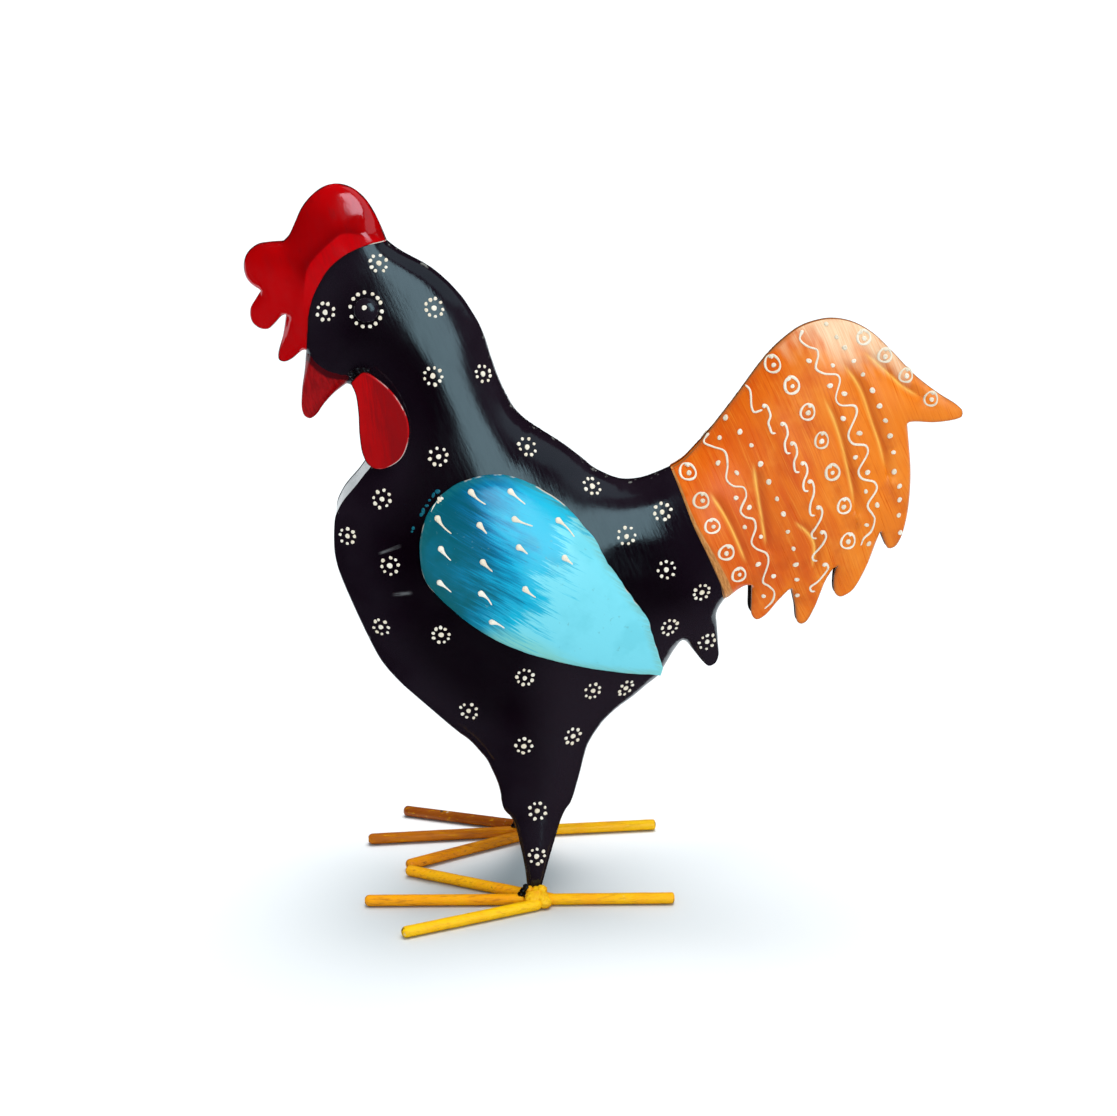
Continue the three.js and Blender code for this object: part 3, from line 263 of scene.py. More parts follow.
class Dish:
    """Depth of a dished sheet over its outline: the edge depth and softness are carried smoothly inwards, and a dome
    grows from the edge like a soap film under a little pressure."""

    def __init__(self, outline, g, pressure):
        O = np.asarray(outline, float)
        lo, hi = O[:, :2].min(0) - 3 * g, O[:, :2].max(0) + 3 * g
        self.g, self.lo = g, lo
        nx, nz = (np.ceil((hi - lo) / g).astype(int) + 1).tolist()
        self.nx, self.nz = nx, nz
        X, Z = lo[0] + g * np.arange(nx), lo[1] + g * np.arange(nz)
        A = O[:, :2]
        inside = np.zeros((nx, nz), bool)
        east, west, north, south = (np.ones((nx, nz)) for _ in range(4))
        rows, cols = [[] for _ in range(nz)], [[] for _ in range(nx)]
        for a, b in zip(A, np.roll(A, -1, 0)):
            if a[1] != b[1]:
                z0, z1 = sorted((a[1], b[1]))
                for j in range(math.ceil((z0 - lo[1]) / g), math.ceil((z1 - lo[1]) / g)):
                    rows[j].append(a[0] + (Z[j] - a[1]) * (b[0] - a[0]) / (b[1] - a[1]))
            if a[0] != b[0]:
                x0, x1 = sorted((a[0], b[0]))
                for i in range(math.ceil((x0 - lo[0]) / g), math.ceil((x1 - lo[0]) / g)):
                    cols[i].append(a[1] + (X[i] - a[0]) * (b[1] - a[1]) / (b[0] - a[0]))
        for j in range(nz):
            if rows[j]:
                inside[:, j] = np.searchsorted(np.sort(rows[j]), X) % 2 == 1
        for j in range(nz):
            for x in rows[j]:
                u = (x - lo[0]) / g
                i = int(u)
                if inside[i, j] and not inside[i + 1, j]:
                    east[i, j] = max(u - i, 0.05)
                if inside[i + 1, j] and not inside[i, j]:
                    west[i + 1, j] = max(1 - u + i, 0.05)
        for i in range(nx):
            for z in cols[i]:
                u = (z - lo[1]) / g
                j = int(u)
                if inside[i, j] and not inside[i, j + 1]:
                    north[i, j] = max(u - j, 0.05)
                if inside[i, j + 1] and not inside[i, j]:
                    south[i, j + 1] = max(1 - u + j, 0.05)
        edge, soft = np.full((nx, nz), O[:, 2].mean()), np.full((nx, nz), 2.0)
        oi, oj = np.where(~inside)
        for s in range(0, len(oi), 4000):
            i, j = oi[s : s + 4000], oj[s : s + 4000]
            k = ((X[i][:, None] - A[None, :, 0]) ** 2 + (Z[j][:, None] - A[None, :, 1]) ** 2).argmin(1)
            edge[i, j], soft[i, j] = O[k, 2], O[k, 3]
        push = pressure(X[:, None] + 0 * Z[None, :], Z[None, :] + 0 * X[:, None]) * g * g
        I, J = np.indices((nx, nz))
        relax = 2 / (1 + math.sin(math.pi / (0.6 * max(nx, nz))))

        def settle(u, push, exact):
            one = np.ones((nx, nz))
            if exact:
                e, w = 2 / (east * (east + west)), 2 / (west * (east + west))
                n, s = 2 / (north * (north + south)), 2 / (south * (north + south))
                c = 1 / (2 / (east * west) + 2 / (north * south))
            else:
                e = w = n = s = one
                c = one / 4
            sets = []
            for odd in (0, 1):
                i, j = np.where(inside & ((I + J) % 2 == odd))
                sets.append((i, j, e[i, j], w[i, j], n[i, j], s[i, j], c[i, j], push[i, j]))
            for _ in range(int(2.2 * max(nx, nz))):
                for i, j, ee, ww, nn, ss, cc, pp in sets:
                    new = (ee * u[i + 1, j] + ww * u[i - 1, j] + nn * u[i, j + 1] + ss * u[i, j - 1] + pp) * cc
                    u[i, j] += relax * (new - u[i, j])
            return u

        self.edge = settle(edge, 0 * push, False)
        self.soft = settle(soft, 0 * push, False)
        v = settle(np.zeros((nx, nz)), push, True)
        # the dome's slope carried past the edge, so that a value read between nodes is zero on the outline itself
        past, count = np.zeros_like(v), np.zeros_like(v)
        for T, di, dj in ((east, 1, 0), (west, -1, 0), (north, 0, 1), (south, 0, -1)):
            i, j = np.where(inside & ~np.roll(inside, (-di, -dj), (0, 1)))
            np.add.at(past, (i + di, j + dj), np.maximum(-v[i, j] * (1 - T[i, j]) / T[i, j], -v.max()))
            np.add.at(count, (i + di, j + dj), 1)
        self.dome = np.where(count > 0, past / np.maximum(count, 1), v)

    def read(self, f, x, z):
        u = np.clip((np.asarray(x, float) - self.lo[0]) / self.g, 0, self.nx - 1.001)
        w = np.clip((np.asarray(z, float) - self.lo[1]) / self.g, 0, self.nz - 1.001)
        i, j = u.astype(int), w.astype(int)
        a, b = u - i, w - j
        return f[i, j] * (1 - a) * (1 - b) + f[i + 1, j] * a * (1 - b) + f[i, j + 1] * (1 - a) * b + f[i + 1, j + 1] * a * b

    def lift(self, x, z):
        return np.maximum(self.read(self.dome, x, z), 0)

    def __call__(self, x, z):
        e = self.read(self.soft, x, z)
        return self.read(self.edge, x, z) + np.sqrt(self.lift(x, z) + e * e) - e


# ---------------------------------------------------------------- the dished half

LISTS = [BACK, TAIL, RUMP, BELLY_REAR, LEG_REAR, LEG_FRONT, BELLY_FRONT, CHEST, THROAT, BEAK, COMB]
WHOLE = [p for part in LISTS for p in part]


def corners_of(points):
    return {k for k, p in enumerate(points) if len(p) > 4}


def body_pressure(x, z):
    f = 0.26 + (0.10 - 0.26) * smooth(40, 85, x) * smooth(130, 160, z)
    leg = smooth(66, 8, z)
    return f * (1 - leg) + 1.5 * leg


whole = refine([p[:4] for p in WHOLE], 1.5, True, corners_of(WHOLE))
dished = Dish(whole, 1.5, body_pressure)
COMB_LINE = refine(COMB_BORDER, 1.5, False)
TAIL_LINE = refine(TAIL_BORDER, 1.5, False)
BEAK_LINE = refine(BEAK_EDGE, 1.5, False)
FOLD_LINE = refine(COMB_FOLD, 1.5, False)
FOLD_LONG = refine([(-159.4, 282)] + COMB_FOLD + [(-84, 344)], 1.5, False)
FLUTE_LINES = [refine(f, 2.0, False) for f in FLUTES]
RIDGE_LINE = refine([(74, 280), (81, 267), (88, 250), (95, 228), (100, 205), (103, 190)], 2.0, False)


# shallow hills and hollows that the beating left in the sheets (x, z, height)
HILLS = [(-143.2, 319.8, -0.18), (-143.2, 338.8, -0.67), (-124.2, 300.8, 0.34), (-124.2, 319.8, 0.53), (-124.2, 338.8, -0.92),
    (-124.2, 357.8, 0.43), (-105.2, 262.8, -0.3), (-105.2, 300.8, 1.25), (-105.2, 319.8, -0.72), (-105.2, 357.8, 0.54),
    (-86.2, 224.8, 0.27), (-86.2, 243.8, 0.34), (-86.2, 281.8, 0.27), (-86.2, 300.8, -0.33), (-86.2, 319.8, -0.46),
    (-67.2, 224.8, 0.41), (-67.2, 243.8, 0.57), (-67.2, 262.8, 0.4), (-67.2, 281.8, -0.43), (-67.2, 300.8, -0.23),
    (-67.2, 319.8, -0.26), (-48.2, 243.8, -0.16), (-48.2, 262.8, 0.64), (-29.2, 224.8, -1.09), (-10.2, 224.8, -1.39),
    (-10.2, 243.8, 0.22), (8.8, 186.8, -0.98), (8.8, 205.8, 0.29), (8.8, 224.8, 0.74), (27.8, 186.8, -0.21), (27.8, 224.8, 0.47),
    (46.8, 186.8, 0.16), (46.8, 205.8, 0.37)]
COMB_HILLS = [(-152.5, 366.4, -0.11), (-142.5, 346.4, -0.23), (-142.5, 356.4, -0.92), (-142.5, 366.4, -0.5), (-142.5, 376.4, -0.41),
    (-132.5, 346.4, -0.3), (-132.5, 356.4, -1.2), (-132.5, 366.4, -1.04), (-132.5, 376.4, -0.39), (-122.5, 346.4, -0.93),
    (-122.5, 356.4, 1), (-122.5, 366.4, -0.65), (-122.5, 376.4, -0.31), (-112.5, 356.4, -0.57)]
WING_HILLS = [(-83.1, 197.6, -0.38), (-83.1, 213.6, -1.08), (-83.1, 229.6, -0.25), (-67.1, 181.6, -0.49), (-67.1, 197.6, -0.96),
    (-67.1, 213.6, -1.08), (-67.1, 229.6, 0.22), (-51.1, 165.6, 1.1), (-51.1, 181.6, 0.3), (-51.1, 197.6, -0.69),
    (-51.1, 213.6, -1.43), (-51.1, 229.6, -0.3), (-35.1, 181.6, -0.34), (-35.1, 197.6, -0.11), (-35.1, 213.6, -1.33),
    (-35.1, 229.6, 1.13), (-19.1, 197.6, 0.36), (-19.1, 213.6, 0.46)]


def hills(x, z, places, width):
    y = 0.0 * (np.asarray(x, float) + np.asarray(z, float))
    for a, b, high in places:
        y = y + high * np.exp(-((x - a) ** 2 + (z - b) ** 2) / width**2)
    return y


def plain_skin(x, z):
    """The body sheet: the dish with a hand-beaten unevenness that dies out at the edge."""
    lift = dished.lift(x, z)
    fade = lift / (lift + 60)
    return dished(x, z) + fade * (0.34 * uneven(x, z, 38, 1) + 0.10 * uneven(x, z, 15, 2))


def skin(x, z):
    y = plain_skin(x, z)
    return y + hills(x, z, HILLS, 15.0) * smooth(0, 7, y)


def fold_side(x, z):
    """Signed distance to the comb's fold, positive on the side of the border"""
    d, side, _ = to_line(x, z, FOLD_LONG)
    return -side * d


def comb_skin(x, z):
    d, s = to_line(x, z, COMB_LINE)[0], fold_side(x, z)
    lift = dished.lift(x, z)
    t = lift / (lift + 25)
    ridge = np.where(s > 0, 1.5 - 0.13 * s, 1.5 * np.exp(-((s / 4.5) ** 2))) * smooth(308, 326, z)
    y = plain_skin(x, z) + 1.2 * np.maximum(1 - smooth(6, 15, d), t) + ridge * t
    return y + hills(x, z, COMB_HILLS, 8.5) * smooth(0, 7, y)


def tail_lip(x, z):
    """Distance to the tail's border, the lip's width there, and the lip's height"""
    d, _, w = to_line(x, z, TAIL_LINE)
    return d, 1.3 + 3.6 * smooth(0.1, 1, w), 1.5 + 2.2 * smooth(0.1, 1, w)


def tail_skin(x, z):
    d, width, high = tail_lip(x, z)
    lift = dished.lift(x, z)
    y = skin(x, z) + high * (1 - smooth(12, 34, d))
    # a broad swelling under the crown and a low ridge down the middle
    r, _, w = to_line(x, z, RIDGE_LINE)
    y = y + lift / (lift + 40) * (3.0 * np.exp(-((x - 90) ** 2 + (z - 288) ** 2) / 900.0) + 1.4 * np.exp(-((r / 10.0) ** 2)) * smooth(0, 0.2, w) * smooth(0, 0.3, 1 - w))
    # each feather swells gently towards a sharp crease and starts again beyond it
    for line, deep, crease, left, right in zip(FLUTE_LINES, (1.9, 2.2, 1.7, 1.4, 1.3, 1.1), (0.9, 1.1, 1.0, 0.6, 0.6, 0.6), (24, 20, 16, 17, 14, 12), (9, 10, 9, 9, 8, 7)):
        f, side, w = to_line(x, z, line)
        run = smooth(0, 0.35, w) * smooth(0.0, 0.02, 1.02 - w)
        y = y - run * (deep * np.clip(1 - f / np.where(side > 0, right, left), 0, 1) ** 1.8 + crease * np.clip(1 - f / 3.2, 0, 1) ** 1.2)
    y = y + 0.15 * lift / (lift + 40) * np.sin((0.907 * x + 0.42 * z) / 2.6 + 1.5 * uneven(x, z, 40, 5)) * smooth(20, 40, d)
    return y - (high - 0.35) * np.clip(1 - d / width, 0, 1)


wing_loop = refine([p + (0.0, 1.0) for p in WING], 1.5, True, {18, 19})
wing_dome = Dish(wing_loop, 1.5, lambda x, z: 0.14 + 0 * x)


def wing_skin(x, z):
    d = dished(x, z)
    seat = (d + 11 + np.hypot(d - 11, 2)) / 2 + 1.6
    lift = wing_dome.lift(x, z)
    y = seat + wing_dome(x, z) * (1 - 0.0035 * (x + 40)) + lift / (lift + 30) * (0.30 * uneven(x, z, 26, 7) + 0.10 * uneven(x, z, 11, 8))
    return y + hills(x, z, WING_HILLS, 13.0) * lift / (lift + 5)


def wattle_skin(x, z):
    r = to_line(x, z, WATTLE, True)[0]
    return 20.9 + 0.06 * (x + 118) - 0.03 * (z - 260) + 0.5 * smooth(0, 9, r) + 0.12 * uneven(x, z, 12, 9)


# ---------------------------------------------------------------- meshes


def fill(rim, step, rows, extra=()):
    """Points and triangles over the inside of a dense outline, with rows of points that follow it."""
    A = np.asarray(rim, float)[:, :2]
    if (A[:, 0] * np.roll(A[:, 1], -1) - np.roll(A[:, 0], -1) * A[:, 1]).sum() < 0:
        A = A[::-1]
    n = len(A)
    t = np.roll(A, -1, 0) - np.roll(A, 1, 0)
    t /= np.maximum(np.linalg.norm(t, axis=1), 1e-9)[:, None]
    inward = np.stack([-t[:, 1], t[:, 0]], 1)
    grid, points = {}, [tuple(p) for p in A]
    cell = 3.0

    def put(p, apart):
        i, j = int(p[0] // cell), int(p[1] // cell)
        for a in (i - 1, i, i + 1):
            for b in (j - 1, j, j + 1):
                for q in grid.get((a, b), ()):
                    if (q[0] - p[0]) ** 2 + (q[1] - p[1]) ** 2 < apart * apart:
                        return
        grid.setdefault((i, j), []).append(p)
        points.append(p)

    for off, apart in rows:
        C = A + inward * off
        d = to_line(C[:, 0], C[:, 1], A, True)[0]
        ok = within(C[:, 0], C[:, 1], A) & (d > 0.92 * off)
        for p in C[ok]:
            put(tuple(p), apart)
    for line, apart in extra:
        ok = within(line[:, 0], line[:, 1], A) & (to_line(line[:, 0], line[:, 1], A, True)[0] > 1.0)
        for p in line[ok]:
            put(tuple(p), apart)
    lo, hi = A.min(0), A.max(0)
    gx, gz = [], []
    for j, z in enumerate(np.arange(lo[1], hi[1], step * 0.866)):
        x = np.arange(lo[0] + (j % 2) * step / 2, hi[0], step)
        gx.append(x)
        gz.append(np.full(len(x), z))
    gx, gz = np.concatenate(gx), np.concatenate(gz)
    gx = gx + 0.03 * np.sin(12.9 * gz + 3 * gx)
    ok = within(gx, gz, A)
    gx, gz = gx[ok], gz[ok]
    ok = to_line(gx, gz, A, True)[0] > (rows[-1][0] + 0.5 * step if rows else 0.5 * step)
    for p in zip(gx[ok], gz[ok]):
        put(p, 0.7 * step)
    edges = [(k, (k + 1) % n) for k in range(n)]
    got = delaunay_2d_cdt([Vector(p) for p in points], edges, [], 1, 1e-5)
    V = np.array([(v.x, v.y) for v in got[0]])
    F = []
    for f in got[2]:
        a, b, c = (V[k] for k in f)
        area = (b[0] - a[0]) * (c[1] - a[1]) - (b[1] - a[1]) * (c[0] - a[0])
        if abs(area) > 1e-9:
            F.append(tuple(f) if area > 0 else tuple(f)[::-1])
    return A, V, F


def rim_edges(faces):
    seen = {}
    for f in faces:
        for k in range(len(f)):
            a, b = f[k], f[(k + 1) % len(f)]
            if (b, a) in seen:
                del seen[(b, a)]
            else:
                seen[(a, b)] = 1
    return list(seen)


def sheet(rim, depth, step, thick=1.0, bevel=0.25, rows=((0.45, 0.7), (1.4, 0.9), (2.8, 1.4)), back=None, tags=None, extra=()):
    """A closed sheet behind the surface depth(x, z), with a rounded rim. Returns points, faces, faces behind, and values."""
    A, V, F = fill(rim, step, rows, extra)
    x, z = V[:, 0], V[:, 1]
    r = to_line(x, z, A, True)[0]
    y = depth(x, z) - bevel * np.clip(1 - r / 0.45, 0, 1)
    yb = depth(x, z) - thick if back is None else back(x, z, depth(x, z))
    yb = np.minimum(yb, y - 0.15)
    n = len(V)
    P = np.vstack([np.stack([x, -y, z], 1), np.stack([x, -yb, z], 1)])
    front = list(F)
    behind = [(a + n, c + n, b + n) for a, b, c in F]
    walls = [(b, a, a + n, b + n) for a, b in rim_edges(F)]
    values = {"rim_mm": np.concatenate([r, r])}
    for name, f in (tags or {}).items():
        v = f(x, z)
        values[name] = np.concatenate([v, v])
    return P, front + walls, behind, values


class Lot:
    """Points and faces gathered from many small closed shapes."""

    def __init__(self):
        self.points, self.faces, self.count, self.tone = [], [], 0, []

    def add(self, points, faces, tone=0.5):
        self.points.append(np.asarray(points, float))
        self.faces += [tuple(k + self.count for k in f) for f in faces]
        self.count += len(points)
        self.tone.append(np.full(len(points), tone))

    def all(self):
        return np.vstack(self.points), self.faces, [], {"tone": np.concatenate(self.tone)}


def tube_faces(rings, sides, closed=False):
    out = []
    for i in range(rings if closed else rings - 1):
        a, b = i * sides, ((i + 1) % rings) * sides
        for k in range(sides):
            m = (k + 1) % sides
            out.append((a + k, a + m, b + m, b + k))
    return out


def capped(rings, sides):
    return tube_faces(rings, sides) + [tuple(range(sides - 1, -1, -1)), tuple(range((rings - 1) * sides, rings * sides))]


def frame_at(surface, x, z):
    """Point, outward normal and the two directions along the surface at (x, z)"""
    e = 0.5
    x, z = np.atleast_1d(np.asarray(x, float)), np.atleast_1d(np.asarray(z, float))
    dx = (surface(x + e, z) - surface(x - e, z)) / (2 * e)
    dz = (surface(x, z + e) - surface(x, z - e)) / (2 * e)
    n = np.stack([-dx, -np.ones_like(dx), -dz], 1)
    n /= np.linalg.norm(n, axis=1)[:, None]
    return np.stack([x, -surface(x, z), z], 1), n


def dot(lot, surface, x, z, r, high=0.6, sides=14, stretch=1.0, turn=0.0):
    """A drop of paint"""
    P, N = frame_at(surface, x, z)
    P, N = P[0], N[0]
    u = np.cross(N, (0, 0, 1.0))
    u /= np.linalg.norm(u)
    w = np.cross(u, N)
    u, w = u * math.cos(turn) + w * math.sin(turn), w * math.cos(turn) - u * math.sin(turn)
    rings = []
    ang = np.arange(sides) * 2 * math.pi / sides
    wob = 1 + 0.05 * np.sin(2 * ang + RNG.uniform(0, 6)) + 0.04 * np.sin(3 * ang + RNG.uniform(0, 6))
    for c, s in ((1.0, -0.25 / max(high * r, 0.05)), (1.0, 0.12), (0.93, 0.45), (0.77, 0.78), (0.5, 1.0), (0.3, 0.94), (0.14, 0.66)):
        rr = r * c * wob
        rings.append(P + np.outer(rr * np.cos(ang) * stretch, u) + np.outer(rr * np.sin(ang) / stretch, w) + N * (high * r * s))
    faces = capped(len(rings), sides)
    lot.add(np.vstack(rings), faces, RNG.uniform(0, 1))


def stroke(lot, surface, path, width, high=0.5, arch=9, tone=None):
    """A raised line of paint laid along a path of (x, z); width is one number for each point."""
    path = np.asarray(path, float)
    P, N = frame_at(surface, path[:, 0], path[:, 1])
    T = np.gradient(P, axis=0)
    T /= np.maximum(np.linalg.norm(T, axis=1), 1e-9)[:, None]
    B = np.cross(N, T)
    B /= np.maximum(np.linalg.norm(B, axis=1), 1e-9)[:, None]
    width = np.asarray(width, float)
    run = np.concatenate([[0], np.cumsum(np.linalg.norm(np.diff(P, axis=0), axis=1))])
    ends = np.minimum(run, run[-1] - run)
    width = width * np.sqrt(np.clip(1 - (1 - np.clip(ends / (0.5 * width), 0, 1)) ** 2, 0.02, 1))
    ang = np.linspace(math.pi, 0, arch)
    rings = []
    for p, n, b, w in zip(P, N, B, width):
        pts = [p + b * (w / 2 * math.cos(a)) + n * (high * w * math.sin(a)) for a in ang]
        pts.append(p + b * (w / 2) - n * 0.25)
        pts.append(p - b * (w / 2) - n * 0.25)
        rings.append(pts)
    lot.add(np.array(rings).reshape(-1, 3), capped(len(rings), arch + 2), RNG.uniform(0, 1) if tone is None else tone)


def rounded_tube(lot, a, b, r, ends, sides=28, seed=1, bend=0.25):
    """A round rod from a to b, its ends rounded off and thinned as by wear"""
    a, b = np.asarray(a, float), np.asarray(b, float)
    L = np.linalg.norm(b - a)
    t = (b - a) / L
    up = np.array([0, 0, 1.0])
    s = np.cross(t, up)
    s /= np.linalg.norm(s)
    up = np.cross(s, t)
    stations = []
    for f in (0.0, 0.06, 0.2, 0.42, 0.7, 1.0):
        stations.append((ends[0] * f, math.sqrt(max(0.0, 1 - (1 - f) ** 2)) if f else 0.30))
    m = int((L - ends[0] - ends[1]) / 1.6)
    for k in range(1, m):
        stations.append((ends[0] + (L - ends[0] - ends[1]) * k / m, 1.0))
    for f in (1.0, 0.7, 0.42, 0.2, 0.06, 0.0):
        stations.append((L - ends[1] * f, math.sqrt(max(0.0, 1 - (1 - f) ** 2)) if f else 0.30))
    ang = np.arange(sides) * 2 * math.pi / sides
    rings = []
    for q, c in stations:
        c = 0.35 + 0.65 * c if c < 1 else 1.0
        c = min(c, 1.0)
        w = bend * math.sin(math.pi * q / L) * math.sin(seed * 1.7)
        rr = r * c * (1 + 0.018 * uneven(ang * r * 3 + seed * 50, np.full(sides, q), 5.0, seed) - 0.018)
        rings.append(a + t * q + s * w + np.outer(rr * np.cos(ang), s) + np.outer(rr * np.sin(ang), up))
    P = np.vstack(rings)
    lot.add(P, [f[::-1] for f in capped(len(rings), sides)], 0.5)


def lump(lot, centre, radii, seed, rough=0.12, cell=0.5, nu=30, nv=18, floor=None):
    """A knobbly blob of weld"""
    rings = []
    for j in range(1, nv):
        th = math.pi * j / nv
        ph = np.arange(nu) * 2 * math.pi / nu
        d = np.stack([math.sin(th) * np.cos(ph), math.sin(th) * np.sin(ph), np.full(nu, math.cos(th))], 1)
        k = 1 + rough * (uneven(d[:, 0] * 2 + seed, d[:, 1] * 2 + 1.3 * d[:, 2] * 2, cell, seed)
                         + 0.6 * uneven(d[:, 1] * 2 - seed, d[:, 2] * 2 - d[:, 0], cell * 0.55, seed + 3))
        rings.append(np.asarray(centre) + d * np.asarray(radii) * k[:, None])
    P = np.vstack(rings + [np.asarray(centre)[None] + [[0, 0, radii[2]]], np.asarray(centre)[None] - [[0, 0, radii[2]]]])
    n = len(P)
    F = [f[::-1] for f in tube_faces(nv - 1, nu)]
    F += [(n - 2, k, (k + 1) % nu) for k in range(nu)]
    base = (nv - 2) * nu
    F += [(n - 1, base + (k + 1) % nu, base + k) for k in range(nu)]
    if floor is not None:
        P[:, 2] = np.maximum(P[:, 2], floor)
    lot.add(P, F, 0.5)


def band(path, across=9, thick=1.0, inset=0.2, crown=0.0):
    """A strip bent along a path of (x, z, half width), its face just inside the path (to the right of the way along it)."""
    p = np.asarray(path, float)
    t = np.gradient(p[:, :2], axis=0)
    t /= np.linalg.norm(t, axis=1)[:, None]
    inner = np.stack([t[:, 1], -t[:, 0]], 1)
    s = np.linspace(-1, 1, across)
    rows = []
    for q, n, w in zip(p[:, :2], inner, p[:, 2]):
        top = [(q[0] + n[0] * (inset + crown * k * k), k * w, q[1] + n[1] * (inset + crown * k * k)) for k in s]
        low = [(q[0] + n[0] * (inset + thick + crown * k * k), k * w, q[1] + n[1] * (inset + thick + crown * k * k)) for k in s[::-1]]
        rows.append(top + low)
    P = np.array(rows).reshape(-1, 3)
    return P, capped(len(rows), 2 * across)

# ---------------------------------------------------------------- paints


SHADE = 1.0  # one scale on all the paint colours; at one it leaves them as listed


def lin(r, g, b, shade=SHADE):
    return tuple(shade * (v / 12.92 if v <= 0.04045 else ((v + 0.055) / 1.055) ** 2.4) for v in (r / 255, g / 255, b / 255)) + (1.0,)


class Paint:
    def __init__(self, name, rough, level, gloss=(1.0, 1.0, 1.0)):
        self.m = bpy.data.materials.new(name)
        self.m.use_nodes = True
        self.t = self.m.node_tree
        self.t.nodes.clear()
        out = self.t.nodes.new("ShaderNodeOutputMaterial")
        self.b = self.t.nodes.new("ShaderNodeBsdfPrincipled")
        self.t.links.new(self.b.outputs[0], out.inputs[0])
        self.b.inputs["Roughness"].default_value = rough
        self.b.inputs["Specular IOR Level"].default_value = level
        self.b.inputs["Specular Tint"].default_value = gloss + (1.0,)
        self.at = self.t.nodes.new("ShaderNodeTexCoord").outputs["Object"]

    def join(self, socket, v):
        if isinstance(v, bpy.types.NodeSocket):
            self.t.links.new(v, socket)
        else:
            socket.default_value = v

    def sum(self, op, a, b=0.0, c=0.0):
        n = self.t.nodes.new("ShaderNodeMath")
        n.operation = op
        for s, v in zip(n.inputs, (a, b, c)):
            self.join(s, v)
        return n.outputs[0]

    def along(self, x, y, z):
        """millimetres along a direction"""
        n = self.t.nodes.new("ShaderNodeVectorMath")
        n.operation = "DOT_PRODUCT"
        self.join(n.inputs[0], self.at)
        n.inputs[1].default_value = (x * 1000, y * 1000, z * 1000)
        return n.outputs["Value"]

    def pack(self, x, y, z=0.0):
        n = self.t.nodes.new("ShaderNodeCombineXYZ")
        for s, v in zip(n.inputs, (x, y, z)):
            self.join(s, v)
        return n.outputs[0]

    def noise(self, scale, detail=3.0, rough=0.55, at=None, warp=0.0):
        n = self.t.nodes.new("ShaderNodeTexNoise")
        self.join(n.inputs["Vector"], self.at if at is None else at)
        n.inputs["Scale"].default_value = scale
        n.inputs["Detail"].default_value = detail
        n.inputs["Roughness"].default_value = rough
        n.inputs["Distortion"].default_value = warp
        return n.outputs["Fac"]

    def value(self, name):
        n = self.t.nodes.new("ShaderNodeAttribute")
        n.attribute_name = name
        return n.outputs["Fac"]

    def step(self, v, a, b, low=0.0, high=1.0):
        n = self.t.nodes.new("ShaderNodeMapRange")
        n.interpolation_type = "SMOOTHSTEP"
        self.join(n.inputs["Value"], v)
        for k, q in (("From Min", a), ("From Max", b), ("To Min", low), ("To Max", high)):
            n.inputs[k].default_value = q
        return n.outputs["Result"]

    def mix(self, f, a, b, kind="MIX"):
        n = self.t.nodes.new("ShaderNodeMix")
        n.data_type = "RGBA"
        n.blend_type = kind
        n.clamp_factor = True
        self.join(n.inputs[0], f)
        self.join(n.inputs[6], a)
        self.join(n.inputs[7], b)
        return n.outputs[2]

    def ramp(self, f, *stops):
        n = self.t.nodes.new("ShaderNodeValToRGB")
        self.join(n.inputs[0], f)
        e = n.color_ramp.elements
        while len(e) < len(stops):
            e.new(0.5)
        for k, (p, c) in enumerate(stops):
            e[k].position = p
            e[k].color = c
        return n.outputs[0]

    def bump(self, height, strength, distance, onto=None):
        n = self.t.nodes.new("ShaderNodeBump")
        n.inputs["Strength"].default_value = strength
        n.inputs["Distance"].default_value = distance
        self.join(n.inputs["Height"], height)
        if onto is not None:
            self.join(n.inputs["Normal"], onto)
        return n.outputs[0]

    def finish(self, colour, rough=None, normal=None, metallic=None):
        self.join(self.b.inputs["Base Color"], colour)
        if rough is not None:
            self.join(self.b.inputs["Roughness"], rough)
        if normal is not None:
            self.join(self.b.inputs["Normal"], normal)
        if metallic is not None:
            self.join(self.b.inputs["Metallic"], metallic)
        return self.m


